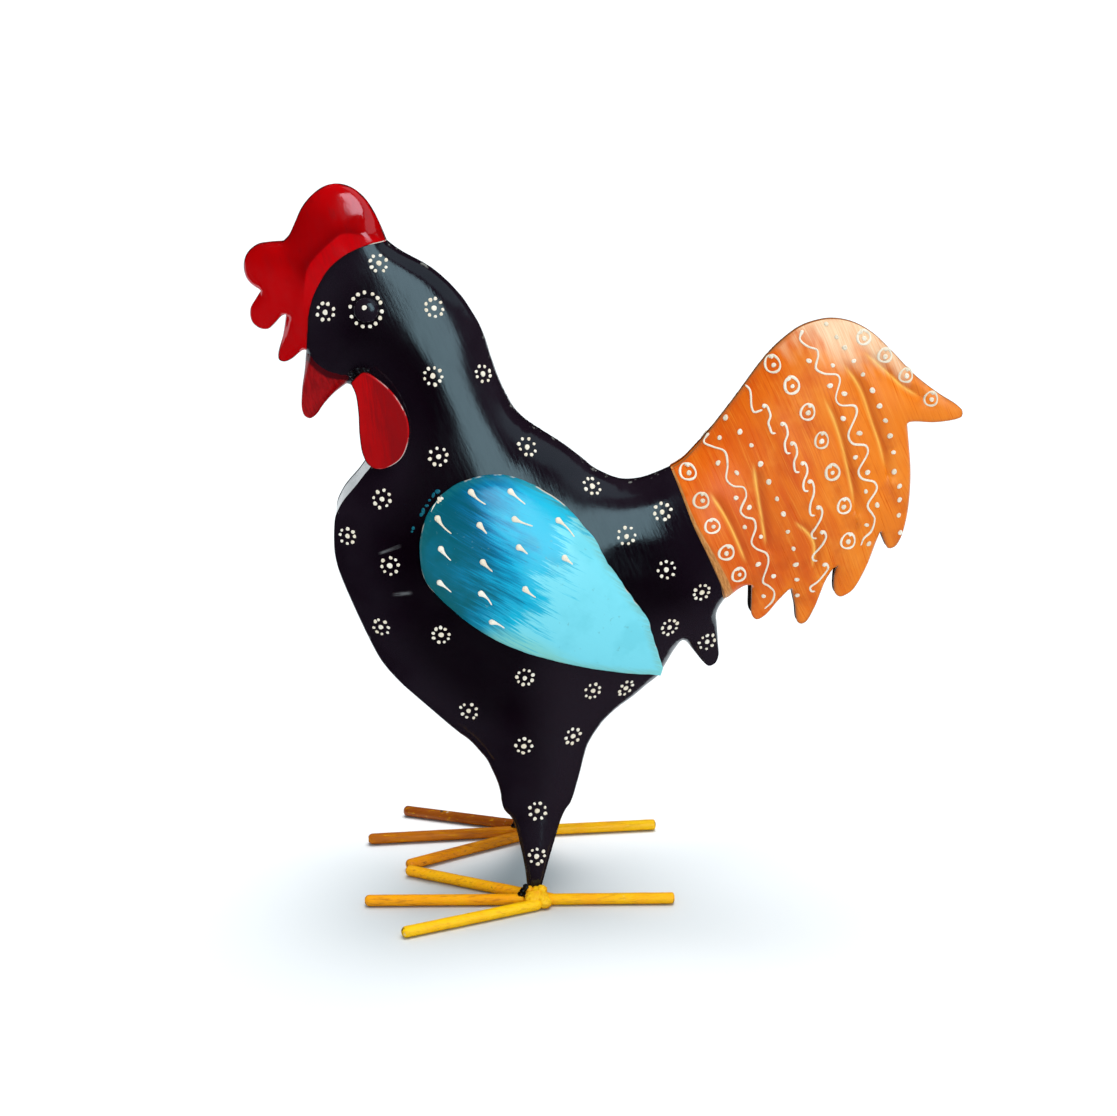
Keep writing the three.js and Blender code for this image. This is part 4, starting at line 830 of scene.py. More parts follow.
def black_paint(name, panel=True):
    p = Paint(name, 0.18, 0.58, (0.56, 0.88, 1.0))
    tone = p.noise(22, 3)
    fine = p.noise(420, 2)
    c = p.mix(p.step(tone, 0.32, 0.7), lin(20, 11, 20), lin(32, 24, 33))
    brush = p.noise(1.0, 3, 0.6, p.pack(p.along(0.9, 0, 0.4), p.along(-0.04, 0, 0.09), p.along(0, 0.2, 0)))
    rough = p.sum("ADD", p.step(tone, 0.3, 0.7, 0.10, 0.17), p.step(brush, 0.3, 0.75, -0.03, 0.05))
    if panel:
        # painted reflection: deep black in the middle of the panels, greyer towards the edges where they turn away, and
        # lighter low at the back
        # painted reflection: the middle of each panel is painted darker and its edges greyer
        rim_sheen_and_dark_rim = p.step(p.sum("ADD", p.value("rim_mm"), p.step(tone, 0.3, 0.7, -5, 5)), 34, 5)
        c = p.mix(rim_sheen_and_dark_rim, p.mix(p.step(tone, 0.32, 0.7), lin(9, 2, 8), lin(17, 9, 16)), c)
        # painted reflection: lighter grey low on the rear of the body
        low = p.sum("MULTIPLY", p.step(p.along(1, 0, 0), -58, -22), p.step(p.along(0, 0, 1), 168, 132))
        c = p.mix(p.sum("MULTIPLY", low, 0.85), c, lin(36, 28, 36))
        # bare specks along the edge
        speck = p.sum("MULTIPLY", p.step(p.value("rim_mm"), 1.3, 0.2), p.step(p.noise(190, 3, 0.6), 0.60, 0.68))
        c = p.mix(speck, c, lin(122, 122, 118))
        # rubbed marks on the breast
        for a, b, half in (((-121.4, 193.5), (-109.4, 198.4), 1.2), ((-115.0, 171.6), (-104.0, 173.2), 1.5)):
            L = math.hypot(b[0] - a[0], b[1] - a[1])
            t = ((b[0] - a[0]) / L, (b[1] - a[1]) / L)
            u = p.sum("SUBTRACT", p.along(t[0], 0, t[1]), a[0] * t[0] + a[1] * t[1])
            v = p.sum("ABSOLUTE", p.sum("SUBTRACT", p.along(-t[1], 0, t[0]), -a[0] * t[1] + a[1] * t[0]))
            inside = p.sum("MULTIPLY", p.step(u, -0.4, 3.0), p.step(u, L + 0.4, L - 3.0))
            inside = p.sum("MULTIPLY", inside, p.step(v, half, 0.0))
            inside = p.sum("MULTIPLY", inside, p.step(p.along(0, 1, 0), -10, -12))
            scratch = p.noise(1.0, 3, 0.6, p.pack(p.sum("MULTIPLY", u, 0.12), p.sum("MULTIPLY", v, 2.4), a[0]))
            inside = p.sum("MULTIPLY", inside, p.step(scratch, 0.36, 0.6, 0.15, 1.0))
            c = p.mix(p.sum("MULTIPLY", inside, 0.75), c, lin(112, 110, 112))
            rough = p.sum("ADD", rough, p.sum("MULTIPLY", inside, 0.25))
        # the beak's red, thin over the black at its border
        d = p.sum("ADD", p.value("beak_mm"), p.step(p.noise(160, 2), 0.3, 0.7, -0.35, 0.35))
        lines = p.noise(1.0, 3, 0.6, p.pack(p.along(0.7, 0, 0.2), p.along(-0.06, 0, 0.12), 0.0))
        red = p.mix(p.step(lines, 0.3, 0.72), lin(132, 1, 4), lin(170, 2, 6))
        c = p.mix(p.step(d, -0.15, 0.35), c, lin(74, 3, 10))
        c = p.mix(p.step(d, 2.6, 4.2), c, red)
        rough = p.mix(p.step(d, 0.0, 2.0), rough, (0.2, 0.2, 0.2, 1))
    n = p.bump(p.sum("ADD", p.sum("MULTIPLY", brush, 0.5), p.sum("MULTIPLY", fine, 0.35)), 0.15, 0.0004)
    return p.finish(c, rough, n)


def red_paint(name, plate):
    p = Paint(name, 0.30, 0.1 if plate else 0.9, (1.0, 0.86, 1.0))
    tone = p.noise(34, 3)
    lines = p.noise(1.0, 4, 0.62, p.pack(p.along(0.42, 0, 0.10), p.along(-0.02, 0, 0.09), p.along(0, 0.2, 0)))
    if plate:
        lines = p.noise(1.0, 4, 0.62, p.pack(p.along(0.9, 0, 0.1), p.along(0, 0, 0.07), p.along(0, 0.2, 0)))
    c = p.mix(p.step(tone, 0.3, 0.72), lin(152, 0, 2), lin(176, 0, 3))
    c = p.mix(p.step(lines, 0.5, 0.85, 0.0, 0.6), c, lin(124, 1, 4))
    c = p.mix(p.step(p.noise(520, 2), 0.68, 0.8, 0.0, 0.6), c, lin(112, 2, 4))
    edge = p.value("rim_mm")
    if plate:
        # paint gone from the sawn edge at the back, dark in front
        bare = p.sum("MULTIPLY", p.step(edge, 0.55, 0.15), p.step(p.along(1, 0, 0), -122, -112))
        bare = p.sum("MULTIPLY", bare, p.step(p.noise(120, 3), 0.42, 0.56, 0.0, 0.8))
        dark = p.sum("MULTIPLY", p.step(edge, 0.7, 0.1), p.step(p.along(1, 0, 0), -121, -126))
        c = p.mix(dark, c, lin(34, 9, 10))
        c = p.mix(bare, c, lin(214, 204, 198))
        # darker towards the back
        c = p.mix(p.sum("MULTIPLY", p.step(p.sum("ADD", p.along(1, 0, 0.25), p.step(lines, 0.3, 0.7, -4, 4)), -61, -47, 0.0, 0.75), p.step(edge, 0.4, 1.2)), c, lin(124, 3, 7))
        rough = p.step(lines, 0.3, 0.75, 0.28, 0.40)
    else:
        # painted light and shade: the crown and the band along the border are painted brighter where they face the
        # light, and a deeper red is painted as shade in the hollow before the band
        away = p.sum("ADD", p.sum("POWER", p.sum("SUBTRACT", p.along(1, 0, 0), -151.0), 2.0), p.sum("POWER", p.sum("SUBTRACT", p.along(0, 0, 1), 352.0), 2.0))
        c = p.mix(p.step(away, 420, 40, 0.0, 0.5), c, lin(130, 0, 4))
        # painted highlight: brighter red on the crown, which faces the light
        c = p.mix(p.sum("MULTIPLY", p.step(p.along(0.35, 0, 0.937), 293, 308), p.step(lines, 0.3, 0.7, 0.95, 0.55)), c, lin(190, 2, 7))
        # painted shade: darker red along the upper side of the fold
        c = p.mix(p.sum("MULTIPLY", p.value("fold_painted_shade"), 0.6), c, lin(112, 0, 4))
        # painted light: brighter red on the band along the border
        c = p.mix(p.sum("MULTIPLY", p.value("band"), p.step(lines, 0.3, 0.7, 0.95, 0.5)), c, lin(194, 2, 9))
        c = p.mix(p.step(p.along(0.5, 0, 0.866), 216, 200, 0.0, 0.65), c, lin(186, 0, 4))
        # darker along the edge, in ragged patches
        rim_sheen_and_dark_rim = p.sum("MULTIPLY", p.step(edge, 0.8, 0.1), p.step(p.noise(60, 3), 0.40, 0.6))
        c = p.mix(rim_sheen_and_dark_rim, c, lin(52, 14, 16))
        bare = p.sum("MULTIPLY", p.step(p.value("border_mm"), 0.6, 0.25), p.step(p.along(1, 0, 0), -123, -119))
        c = p.mix(bare, c, lin(226, 214, 202))
        rough = p.step(lines, 0.3, 0.75, 0.09, 0.15)
    n = p.bump(p.sum("ADD", p.sum("MULTIPLY", lines, 0.5), p.sum("MULTIPLY", p.noise(700, 2), 0.3)), 0.1, 0.0004)
    return p.finish(c, rough, n)


def tail_paint():
    p = Paint("orange_brushed_paint", 0.32, 0.6, (1.0, 0.86, 0.6))
    across, down = p.along(0.907, 0, 0.42), p.along(0.42, 0, -0.907)
    bend = p.sum("MULTIPLY", p.noise(16, 1), 7.0)
    across = p.sum("ADD", across, bend)
    wide = p.noise(1.0, 3, 0.55, p.pack(p.sum("MULTIPLY", across, 0.11), p.sum("MULTIPLY", down, 0.022), p.along(0, 0.05, 0)))
    thin = p.noise(1.0, 4, 0.62, p.pack(p.sum("MULTIPLY", across, 0.95), p.sum("MULTIPLY", down, 0.024), p.along(0, 0.05, 0)))
    fine = p.noise(1.0, 3, 0.6, p.pack(p.sum("MULTIPLY", across, 2.1), p.sum("MULTIPLY", down, 0.035), p.along(0, 0.05, 0)))
    c = p.mix(p.step(wide, 0.3, 0.7), lin(214, 80, 1), lin(230, 103, 4))
    # more golden towards the free end
    c = p.mix(p.step(p.sum("ADD", p.along(1, 0, 0), p.step(wide, 0.3, 0.7, -16, 16)), 66, 142, 0.0, 0.85), c, lin(240, 129, 17))
    c = p.mix(p.step(thin, 0.54, 0.78, 0.0, 0.45), c, lin(248, 154, 40))
    c = p.mix(p.step(thin, 0.46, 0.30, 0.0, 0.48), c, lin(214, 82, 5))
    c = p.mix(p.step(fine, 0.44, 0.30, 0.0, 0.5), c, lin(206, 76, 4))
    c = p.mix(p.step(fine, 0.56, 0.72, 0.0, 0.35), c, lin(250, 166, 60))
    c = p.mix(p.step(p.noise(13, 2), 0.5, 0.72, 0.0, 0.3), c, lin(204, 86, 14))
    c = p.mix(p.step(p.noise(46, 3), 0.52, 0.72, 0.0, 0.34), c, lin(246, 150, 48))
    c = p.mix(p.step(p.noise(60, 3), 0.48, 0.30, 0.0, 0.34), c, lin(190, 70, 6))
    # painted light at each crease: a yellow painted highlight along one side and a brown painted shade along the other
    c = p.mix(p.sum("MULTIPLY", p.value("crease_painted_shade"), p.step(thin, 0.25, 0.6, 0.6, 0.36)), c, lin(190, 72, 8))
    c = p.mix(p.sum("MULTIPLY", p.value("crease_painted_highlight"), p.step(thin, 0.25, 0.55, 0.55, 1.0)), c, lin(253, 192, 88))
    # painted highlight on the crown: paler there
    crown = p.step(p.sum("ADD", p.along(0.30, 0, 0.954), p.step(wide, 0.3, 0.7, -7, 7)), 303, 328)
    c = p.mix(p.sum("MULTIPLY", crown, p.step(fine, 0.3, 0.65, 0.6, 1.0)), c, lin(238, 212, 176))
    edge = p.value("rim_mm")
    c = p.mix(p.sum("MULTIPLY", p.step(edge, 2.2, 0.4), p.step(p.noise(70, 3), 0.42, 0.62, 0.0, 0.7)), c, lin(196, 104, 44))
    c = p.mix(p.step(edge, 0.45, 0.15), c, lin(166, 96, 44))
    # the lip at the root, rubbed grey by wear
    lip = p.step(p.value("lip"), 1.08, 0.92)
    grey = p.noise(1.0, 4, 0.6, p.pack(p.sum("MULTIPLY", across, 1.2), p.sum("MULTIPLY", down, 0.22), 0.0))
    c = p.mix(lip, c, p.mix(p.step(grey, 0.35, 0.65), lin(188, 116, 54), lin(226, 154, 84)))
    c = p.mix(p.sum("MULTIPLY", lip, p.step(p.value("lip"), 0.16, 0.03)), c, lin(104, 70, 44))
    rough = p.sum("ADD", p.step(thin, 0.3, 0.7, 0.27, 0.38), p.sum("MULTIPLY", lip, 0.2))
    n = p.bump(p.sum("ADD", p.sum("MULTIPLY", thin, 0.7), p.sum("MULTIPLY", p.noise(800, 2), 0.25)), 0.22, 0.0005)
    return p.finish(c, rough, n)


def wing_paint():
    p = Paint("aqua_dry_brushed_paint", 0.24, 0.56, (0.66, 0.92, 1.0))
    s, q = p.along(0.852, 0, -0.523), p.along(0.523, 0, 0.852)
    q = p.sum("ADD", q, p.sum("MULTIPLY", p.noise(14, 1), 9.0))
    s2 = p.sum("ADD", s, p.sum("MULTIPLY", p.noise(18, 1), 6.0))
    teeth = p.noise(1.0, 4, 0.62, p.pack(p.sum("MULTIPLY", q, 0.30), p.sum("MULTIPLY", s2, 0.030), 0.0))
    hair = p.noise(1.0, 4, 0.68, p.pack(p.sum("MULTIPLY", q, 1.15), p.sum("MULTIPLY", s2, 0.050), 0.0))
    broad = p.noise(1.0, 2, 0.5, p.pack(p.sum("MULTIPLY", q, 0.06), p.sum("MULTIPLY", s, 0.03), 0.0))
    wave = p.sum("ADD", p.step(teeth, 0.25, 0.75, -8, 8), p.step(hair, 0.28, 0.72, -9, 9))
    wave = p.sum("ADD", wave, p.step(broad, 0.3, 0.7, -6, 6))
    high = p.along(0.523, 0, 0.852)
    f = p.step(p.sum("ADD", p.sum("ADD", s, wave), p.step(high, 124, 174, 0.0, 26.0)), -188, -122)
    c = p.ramp(f, (0.0, lin(2, 86, 106)), (0.22, lin(1, 95, 129)), (0.42, lin(1, 113, 160)), (0.60, lin(1, 134, 180)), (0.74, lin(1, 152, 196)),
               (0.87, lin(4, 172, 212)), (1.0, lin(12, 180, 214)))
    # the strokes end raggedly on the pale ground
    ends = p.step(p.sum("ADD", p.sum("ADD", s, wave), p.step(high, 148, 172, 0.0, 10.0)), -126, -114)
    c = p.mix(ends, c, lin(120, 215, 231))
    f = p.sum("ADD", p.sum("MULTIPLY", f, 0.6), p.sum("MULTIPLY", ends, 0.4))
    # greener low on the front edge
    c = p.mix(p.sum("MULTIPLY", p.step(p.along(0.523, 0, 0.852), 150, 108), p.step(f, 0.62, 0.25, 0.0, 0.8)), c, lin(9, 96, 104))
    c = p.mix(p.sum("MULTIPLY", p.step(hair, 0.60, 0.74), p.step(f, 0.92, 0.4, 0.0, 0.5)), c, lin(12, 140, 184))
    c = p.mix(p.sum("MULTIPLY", p.step(hair, 0.40, 0.28), p.step(f, 0.92, 0.5, 0.0, 0.5)), c, lin(2, 86, 116))
    # cloudy patches where the brush went over twice
    c = p.mix(p.sum("MULTIPLY", p.step(p.noise(34, 4, 0.6), 0.47, 0.64, 0.0, 0.55), p.step(f, 0.08, 0.4, 0.45, 1.0)), c, p.mix(p.step(f, 0.4, 0.9), lin(1, 126, 168), lin(106, 202, 218)))
    # thin scumbled edge, greener and greyer
    edge = p.value("rim_mm")
    c = p.mix(p.sum("MULTIPLY", p.step(edge, 5, 0.6), p.step(hair, 0.36, 0.62, 0.1, 0.85)), c,
              p.mix(p.step(f, 0.5, 0.9), lin(16, 104, 112), lin(118, 186, 186)))
    low = p.sum("MULTIPLY", p.sum("MULTIPLY", p.step(p.along(0.30, 0, 0.954), 150, 120), p.step(p.sum("ADD", edge, p.step(s, -118, -78, 0.0, 9.0)), 15, 5.0)), p.step(s, -142, -127))
    c = p.mix(p.sum("MULTIPLY", low, p.step(hair, 0.32, 0.58, 0.4, 1.0)), c, lin(130, 208, 202))
    c = p.mix(p.step(p.noise(300, 3, 0.6), 0.66, 0.74, 0.0, 0.35), c, lin(94, 150, 158))
    chip = p.sum("MULTIPLY", p.step(edge, 0.5, 0.1), p.step(p.noise(60, 3, 0.6), 0.56, 0.64))
    c = p.mix(chip, c, lin(206, 198, 184))
    big = p.sum("MULTIPLY", p.step(edge, 3.0, 1.2), p.step(p.noise(70, 3, 0.6), 0.63, 0.68))
    c = p.mix(p.sum("MULTIPLY", big, p.step(p.along(1, 0, 0), -84, -90)), c, lin(214, 212, 204))
    rough = p.step(hair, 0.3, 0.7, 0.17, 0.27)
    n = p.bump(p.sum("ADD", p.sum("MULTIPLY", hair, 0.6), p.sum("MULTIPLY", p.noise(700, 2), 0.3)), 0.18, 0.0005)
    return p.finish(c, rough, n)


def rod_paint(name, rust=1.0):
    p = Paint(name, 0.3, 0.6, (1.0, 0.82, 0.5))
    grain = p.noise(1.0, 4, 0.62, p.pack(p.along(0.10, 0.05, 0.0), p.along(-0.03, 0.75, 0.0), p.along(0, 0, 0.75)))
    tone = p.noise(46, 3)
    # the tone runs from yellow to brown; on the far rods it stands partly for painted shade
    c = p.ramp(p.sum("ADD", p.value("tone"), p.step(tone, 0.3, 0.7, 0.07, -0.07)), (0.0, lin(254, 198, 10)), (0.2, lin(253, 168, 8)), (0.45, lin(230, 138, 6)),
               (0.75, lin(186, 98, 5)), (1.0, lin(148, 64, 3)))
    c = p.mix(p.sum("MULTIPLY", p.step(grain, 0.50, 0.66), p.step(p.value("tone"), 0.0, 0.3, 0.25, 0.6)), c, lin(166, 86, 8))
    c = p.mix(p.step(grain, 0.44, 0.30, 0.0, 0.5), c, lin(250, 184, 30))
    # dirt in the scratches and a few bare places
    c = p.mix(p.sum("MULTIPLY", p.step(grain, 0.68, 0.74), p.step(p.noise(60, 2), 0.5, 0.6, 0.0, 0.75)), c, lin(84, 58, 26))
    c = p.mix(p.sum("MULTIPLY", p.step(p.noise(95, 3, 0.6), 0.70, 0.74), rust), c, lin(72, 60, 40))
    c = p.mix(p.step(p.noise(75, 3, 0.6, p.pack(p.along(0.001, 0, 0), p.along(0, 0.001, 0), p.along(0, 0, 0.0013))), 0.71, 0.75), c, lin(226, 214, 178))
    c = p.mix(p.sum("MULTIPLY", p.step(p.value("tip_mm"), 1.6, 0.2), p.step(p.noise(260, 3), 0.5, 0.64)), c, lin(96, 62, 26))
    rough = p.step(grain, 0.3, 0.7, 0.24, 0.42)
    n = p.bump(p.sum("ADD", grain, p.sum("MULTIPLY", p.noise(500, 2), 0.35)), 0.3, 0.0006)
    return p.finish(c, rough, n)


def weld_paint(name, a, b, level, gloss):
    p = Paint(name, 0.34, level, gloss)
    k = p.noise(150, 4, 0.65)
    c = p.mix(p.step(k, 0.35, 0.68), a, b)
    return p.finish(c, p.step(k, 0.3, 0.7, 0.28, 0.5), p.bump(p.noise(420, 3), 0.3, 0.0006))


def drop_paint(name, light, dark):
    p = Paint(name, 0.48, 0.2)
    k = p.value("tone")
    c = p.mix(k, light, dark)
    c = p.mix(p.step(p.noise(620, 3), 0.56, 0.72, 0.0, 0.55), c, lin(198, 180, 150))
    return p.finish(c, p.step(p.noise(300, 2), 0.3, 0.7, 0.42, 0.6), p.bump(p.noise(900, 2), 0.25, 0.0003))


def inside_paint():
    p = Paint("dark_inside_primer", 0.7, 0.2)
    k = p.noise(60, 4, 0.6)
    c = p.mix(p.step(k, 0.35, 0.7), lin(26, 22, 22), lin(52, 40, 34))
    return p.finish(c, p.step(k, 0.3, 0.7, 0.6, 0.85), p.bump(k, 0.3, 0.0006))


BLACK = black_paint("black_gloss_paint")
BLACK_PLAIN = black_paint("black_gloss_trim", panel=False)
RED = red_paint("red_comb_paint", False)
RED_PLATE = red_paint("red_wattle_paint", True)
ORANGE = tail_paint()
AQUA = wing_paint()
OCHRE = rod_paint("ochre_rod_paint")
OCHRE_WELD = weld_paint("ochre_weld_paint", lin(232, 156, 4), lin(250, 200, 20), 0.6, (1.0, 0.84, 0.5))
BLACK_WELD = weld_paint("black_weld_paint", lin(9, 4, 8), lin(20, 13, 18), 0.5, (0.7, 0.9, 1.0))
CREAM = drop_paint("cream_relief_paint", lin(242, 236, 222), lin(230, 218, 196))
TAIL_CREAM = drop_paint("cream_line_paint", lin(239, 231, 214), lin(222, 209, 185))
INSIDE = inside_paint()

# ---------------------------------------------------------------- the pieces


def piece(name, shape, paint, node=None, behind=None, sharp=38):
    P, faces, hidden, values = shape
    me = bpy.data.meshes.new(name)
    me.from_pydata((np.asarray(P) * 0.001).tolist(), [], list(faces) + list(hidden))
    me.materials.append(paint)
    if hidden:
        me.materials.append(behind or INSIDE)
        ids = np.zeros(len(faces) + len(hidden), np.int32)
        ids[len(faces):] = 1
        me.polygons.foreach_set("material_index", ids)
    for key, v in values.items():
        a = me.attributes.new(key, "FLOAT", "POINT")
        a.data.foreach_set("value", np.asarray(v, np.float32))
    me.shade_smooth()
    me.set_sharp_from_angle(angle=math.radians(sharp))
    me.update()
    me.validate()
    ob = bpy.data.objects.new(name, me)
    bpy.context.scene.collection.objects.link(ob)
    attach(ob, "root")
    if node:
        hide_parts(*([node] if isinstance(node, str) else node))
    return ob


def other_side(shape):
    P, faces, hidden, values = shape
    return np.asarray(P) * (1, -1, 1), [f[::-1] for f in faces], [f[::-1] for f in hidden], values


def pair(name, shape, paint, node=None, behind=None, sharp=38):
    piece(f"left_{name}", shape, paint, f"left_{node}" if node else None, behind, sharp)
    piece(f"right_{name}", other_side(shape), paint, f"right_{node}" if node else None, behind, sharp)


def moved(line, distance):
    L = np.asarray(line, float)[:, :2]
    t = np.gradient(L, axis=0)
    t /= np.linalg.norm(t, axis=1)[:, None]
    return L + np.stack([-t[:, 1], t[:, 0]], 1) * distance


def loop(*parts):
    """One closed outline of (points, is a border between pieces); each border keeps its two ends as corners."""
    pts, corners = [], set()
    for part, border in parts:
        if border:
            corners.add(len(pts))
        for p in part:
            if len(p) > 4:
                corners.add(len(pts))
            pts.append(tuple(p[:2]))
        if border:
            corners.add(len(pts) - 1)
    return refine(pts, 1.2, True, corners)


under_tail = moved(TAIL_BORDER, 4.5)
under_tail[0], under_tail[-1] = moved(TAIL_BORDER, 0.4)[[0, -1]]
under_comb = moved(COMB_BORDER, 3.5)
under_comb[0], under_comb[-1] = moved(COMB_BORDER, 0.3)[[0, -1]]


def beak_side(x, z):
    d, side, _ = to_line(x, z, BEAK_LINE)
    # the beak lies right of the way along its border; further back the red stops
    return np.where((x < -134) & (z > 250), -side * d, -np.abs(d) - 0.5)


panel = sheet(
    loop((BACK[:-1], False), (under_tail, True), (RUMP, False), (BELLY_REAR, False), (LEG_REAR, False), (LEG_FRONT, False),
         (BELLY_FRONT, False), (CHEST, False), (THROAT, False), (BEAK[:-1], False), (under_comb, True)),
    skin, 2.3, tags={"beak_mm": beak_side})
pair("body_sheet", panel, BLACK, "body_panel")



# painted shade along the comb's fold: broad on its upper side, narrow on the band side
def fold_painted_shade(x, z):
    s, w = fold_side(x, z), to_line(x, z, FOLD_LINE)[2]
    return np.where(s < 0, np.exp(-((s / 3.6) ** 2)), np.exp(-((s / 0.5) ** 2))) * smooth(0, 0.3, w) * smooth(0, 0.12, 1 - w)


# painted light on the band between the fold and the border
def band_painted_light_share(x, z):
    return smooth(-0.3, 1.0, fold_side(x, z)) * smooth(310, 330, z)


fold_rows = [(moved(refine(COMB_FOLD, 0.9, False), off), 0.5) for off in (0.0, -0.7, 0.7, -1.5, 1.5, -2.6, 2.6)]
comb = sheet(loop((COMB_BORDER[::-1], True), (COMB, False)), comb_skin, 1.6, bevel=0.35,
             tags={"border_mm": lambda x, z: to_line(x, z, COMB_LINE)[0], "fold_painted_shade": fold_painted_shade, "band": band_painted_light_share}, extra=fold_rows)
pair("comb_sheet", comb, RED, "comb_half")


def crease_side(x, z, light):
    """How strongly each point lies under the painted highlight of a crease, or under its painted shade when light is
    false
    """
    best = np.zeros(np.shape(x))
    for line in FLUTE_LINES:
        d, side, w = to_line(x, z, line)
        s = d * side
        k = np.exp(-(((s + 0.7) / 0.75) ** 2)) if light else np.where(s > 0, np.exp(-(((s - 1.4) / 2.4) ** 2)), np.exp(-((s / 0.5) ** 2)) * 0.71)
        best = np.maximum(best, k * smooth(0, 0.2, w) * smooth(0, 0.2, 1 - w))
    return best


crease_rows = [(moved(refine(f, 0.9, False), off), 0.5) for f in FLUTES for off in (0.0, -0.7, 0.7, -1.5, 1.5, -2.6, 2.6)]


def lip_share(x, z):
    d, width, _ = tail_lip(x, z)
    return d / width


def tail_back(x, z, y):
    return np.where(tail_lip(x, z)[0] < 7, np.maximum(y - 1.0, skin(x, z) + 0.1), y - 1.0)


tail = sheet(loop((TAIL_BORDER[:-1][::-1], True), (TAIL, False)), tail_skin, 1.3, bevel=0.3, back=tail_back,
             tags={"crease_painted_highlight": lambda x, z: crease_side(x, z, True), "crease_painted_shade": lambda x, z: crease_side(x, z, False), "lip": lip_share}, extra=crease_rows)
pair("tail_sheet", tail, ORANGE, "tail_half")

wing_rim = refine(WING, 1.2, True, {18, 19})
ragged = smooth(-35, -5, wing_rim[:, 0]) * smooth(130, 150, wing_rim[:, 1])
t = np.roll(wing_rim, -1, 0) - np.roll(wing_rim, 1, 0)
t /= np.linalg.norm(t, axis=1)[:, None]
push = 0.18 * uneven(wing_rim[:, 0], wing_rim[:, 1], 5, 11) + ragged * (0.75 * uneven(wing_rim[:, 0], wing_rim[:, 1], 9, 12) + 0.3 * uneven(wing_rim[:, 0], wing_rim[:, 1], 3.5, 13))
wing_rim = wing_rim + np.stack([-t[:, 1], t[:, 0]], 1) * push[:, None]
wing = sheet(wing_rim, wing_skin, 2.0, bevel=0.3)
pair("wing_sheet", wing, AQUA, "wing")

wattle = sheet(refine(WATTLE, 0.9, True, {2}), wattle_skin, 1.6, thick=1.2, bevel=0.3)
pair("wattle_plate", wattle, RED_PLATE, "wattle", behind=RED_PLATE)

lot = Lot()
for c, r, s in (((-129.2, -15.2, 286.8), (2.7, 2.0, 2.0), 1), ((-132.0, -13.9, 285.6), (2.0, 1.9, 1.8), 2), ((-126.4, -16.4, 287.6), (2.2, 1.8, 1.5), 4),
                ((-130.9, -15.6, 284.4), (1.6, 1.6, 1.9), 5), ((-124.2, -17.0, 287.7), (1.5, 1.4, 1.1), 6)):
    lump(lot, c, r, s, 0.2, 0.55, 24, 15)
pair("wattle_weld_bead", lot.all(), BLACK_WELD, "wattle_weld", sharp=60)

lot = Lot()
P, N = frame_at(skin, *EYE)
u = np.cross(N[0], (0, 0, 1.0))
u /= np.linalg.norm(u)
w = np.cross(u, N[0])
ang = np.arange(36) * 2 * math.pi / 36
rings = [P[0] + np.outer(6.3 * c * np.cos(ang), u) + np.outer(6.3 * c * np.sin(ang), w) + N[0] * h
         for c, h in [(1.0, -0.8)] + [(math.cos(a), 0.1 + 2.5 * math.sin(a)) for a in np.radians((0, 14, 28, 42, 55, 67, 78, 86))]]
lot.add(np.vstack(rings), capped(len(rings), 36))
pair("eye_bump", lot.all(), BLACK_PLAIN, "eye_boss", sharp=60)

# strips between the halves
front = [(p[0], p[1], p[2] - 1.25) for p in LEG_FRONT[8:] + BELLY_FRONT + CHEST + THROAT[:4]]
P, F = band(refine(front, 1.5, False), 13, 1.0, 0.2)
piece("chest_band", (P, F, [], {"rim_mm": np.full(len(P), 5.0)}), BLACK_PLAIN, "chest_strip")
crotch = [(x, z, float(dished(np.array([x]), np.array([z]))[0]) - 4) for x, z in ((-22, 62), (-30, 64), (-40, 65.5), (-50, 66))]
under = [(p[0], p[1], p[2] - 2) for p in BELLY_REAR[1:8]] + crotch + [(-58.5, 66.5, 16)]
P, F = band(refine(under, 1.5, False), 13, 1.0, 0.2)
piece("belly_band", (P, F, [], {"rim_mm": np.full(len(P), 5.0)}), BLACK_PLAIN, "belly_strip")

# a thin bead closes the seam along the neck and back
path = refine([p[:2] for p in BACK], 1.3, False)
inner = moved(path, -0.75)
lot = Lot()
ang = np.arange(10) * 2 * math.pi / 10
t = np.gradient(inner, axis=0)
t /= np.linalg.norm(t, axis=1)[:, None]
k = 1 + 0.16 * uneven(inner[:, 0], inner[:, 1], 4, 21)
rings = [np.stack([q[0] - d[1] * 0.8 * f * np.cos(ang), 0.8 * f * np.sin(ang), q[1] + d[0] * 0.8 * f * np.cos(ang)], 1) for q, d, f in zip(inner, t, k)]
lot.add(np.vstack(rings), capped(len(rings), 10))
piece("back_seam_bead", lot.all(), BLACK_WELD, sharp=60)


# the seams along the top of the tail and round the comb are closed a little below the edges
def seam(name, points, surface, paint, tags):
    line = refine([q[:2] for q in points], 1.3, False, {i for i, q in enumerate(points) if len(q) > 4})
    inside = moved(line, -1.0)
    half = np.maximum(surface(inside[:, 0], inside[:, 1]) - 0.5, 0.5)
    P, F = band(np.column_stack([line, half]), 5, 0.9, 0.55)
    piece(name, (P, F, [], {k: np.full(len(P), v) for k, v in tags.items()}), paint)


seam("tail_seam", TAIL_BORDER[:1] + TAIL[:16], tail_skin, ORANGE, {"rim_mm": 5.0, "lip": 5.0})
seam("comb_seam", COMB_BORDER[:1] + COMB + COMB_BORDER[-1:], comb_skin, RED, {"rim_mm": 5.0, "border_mm": 9.0})

# ---------------------------------------------------------------- feet


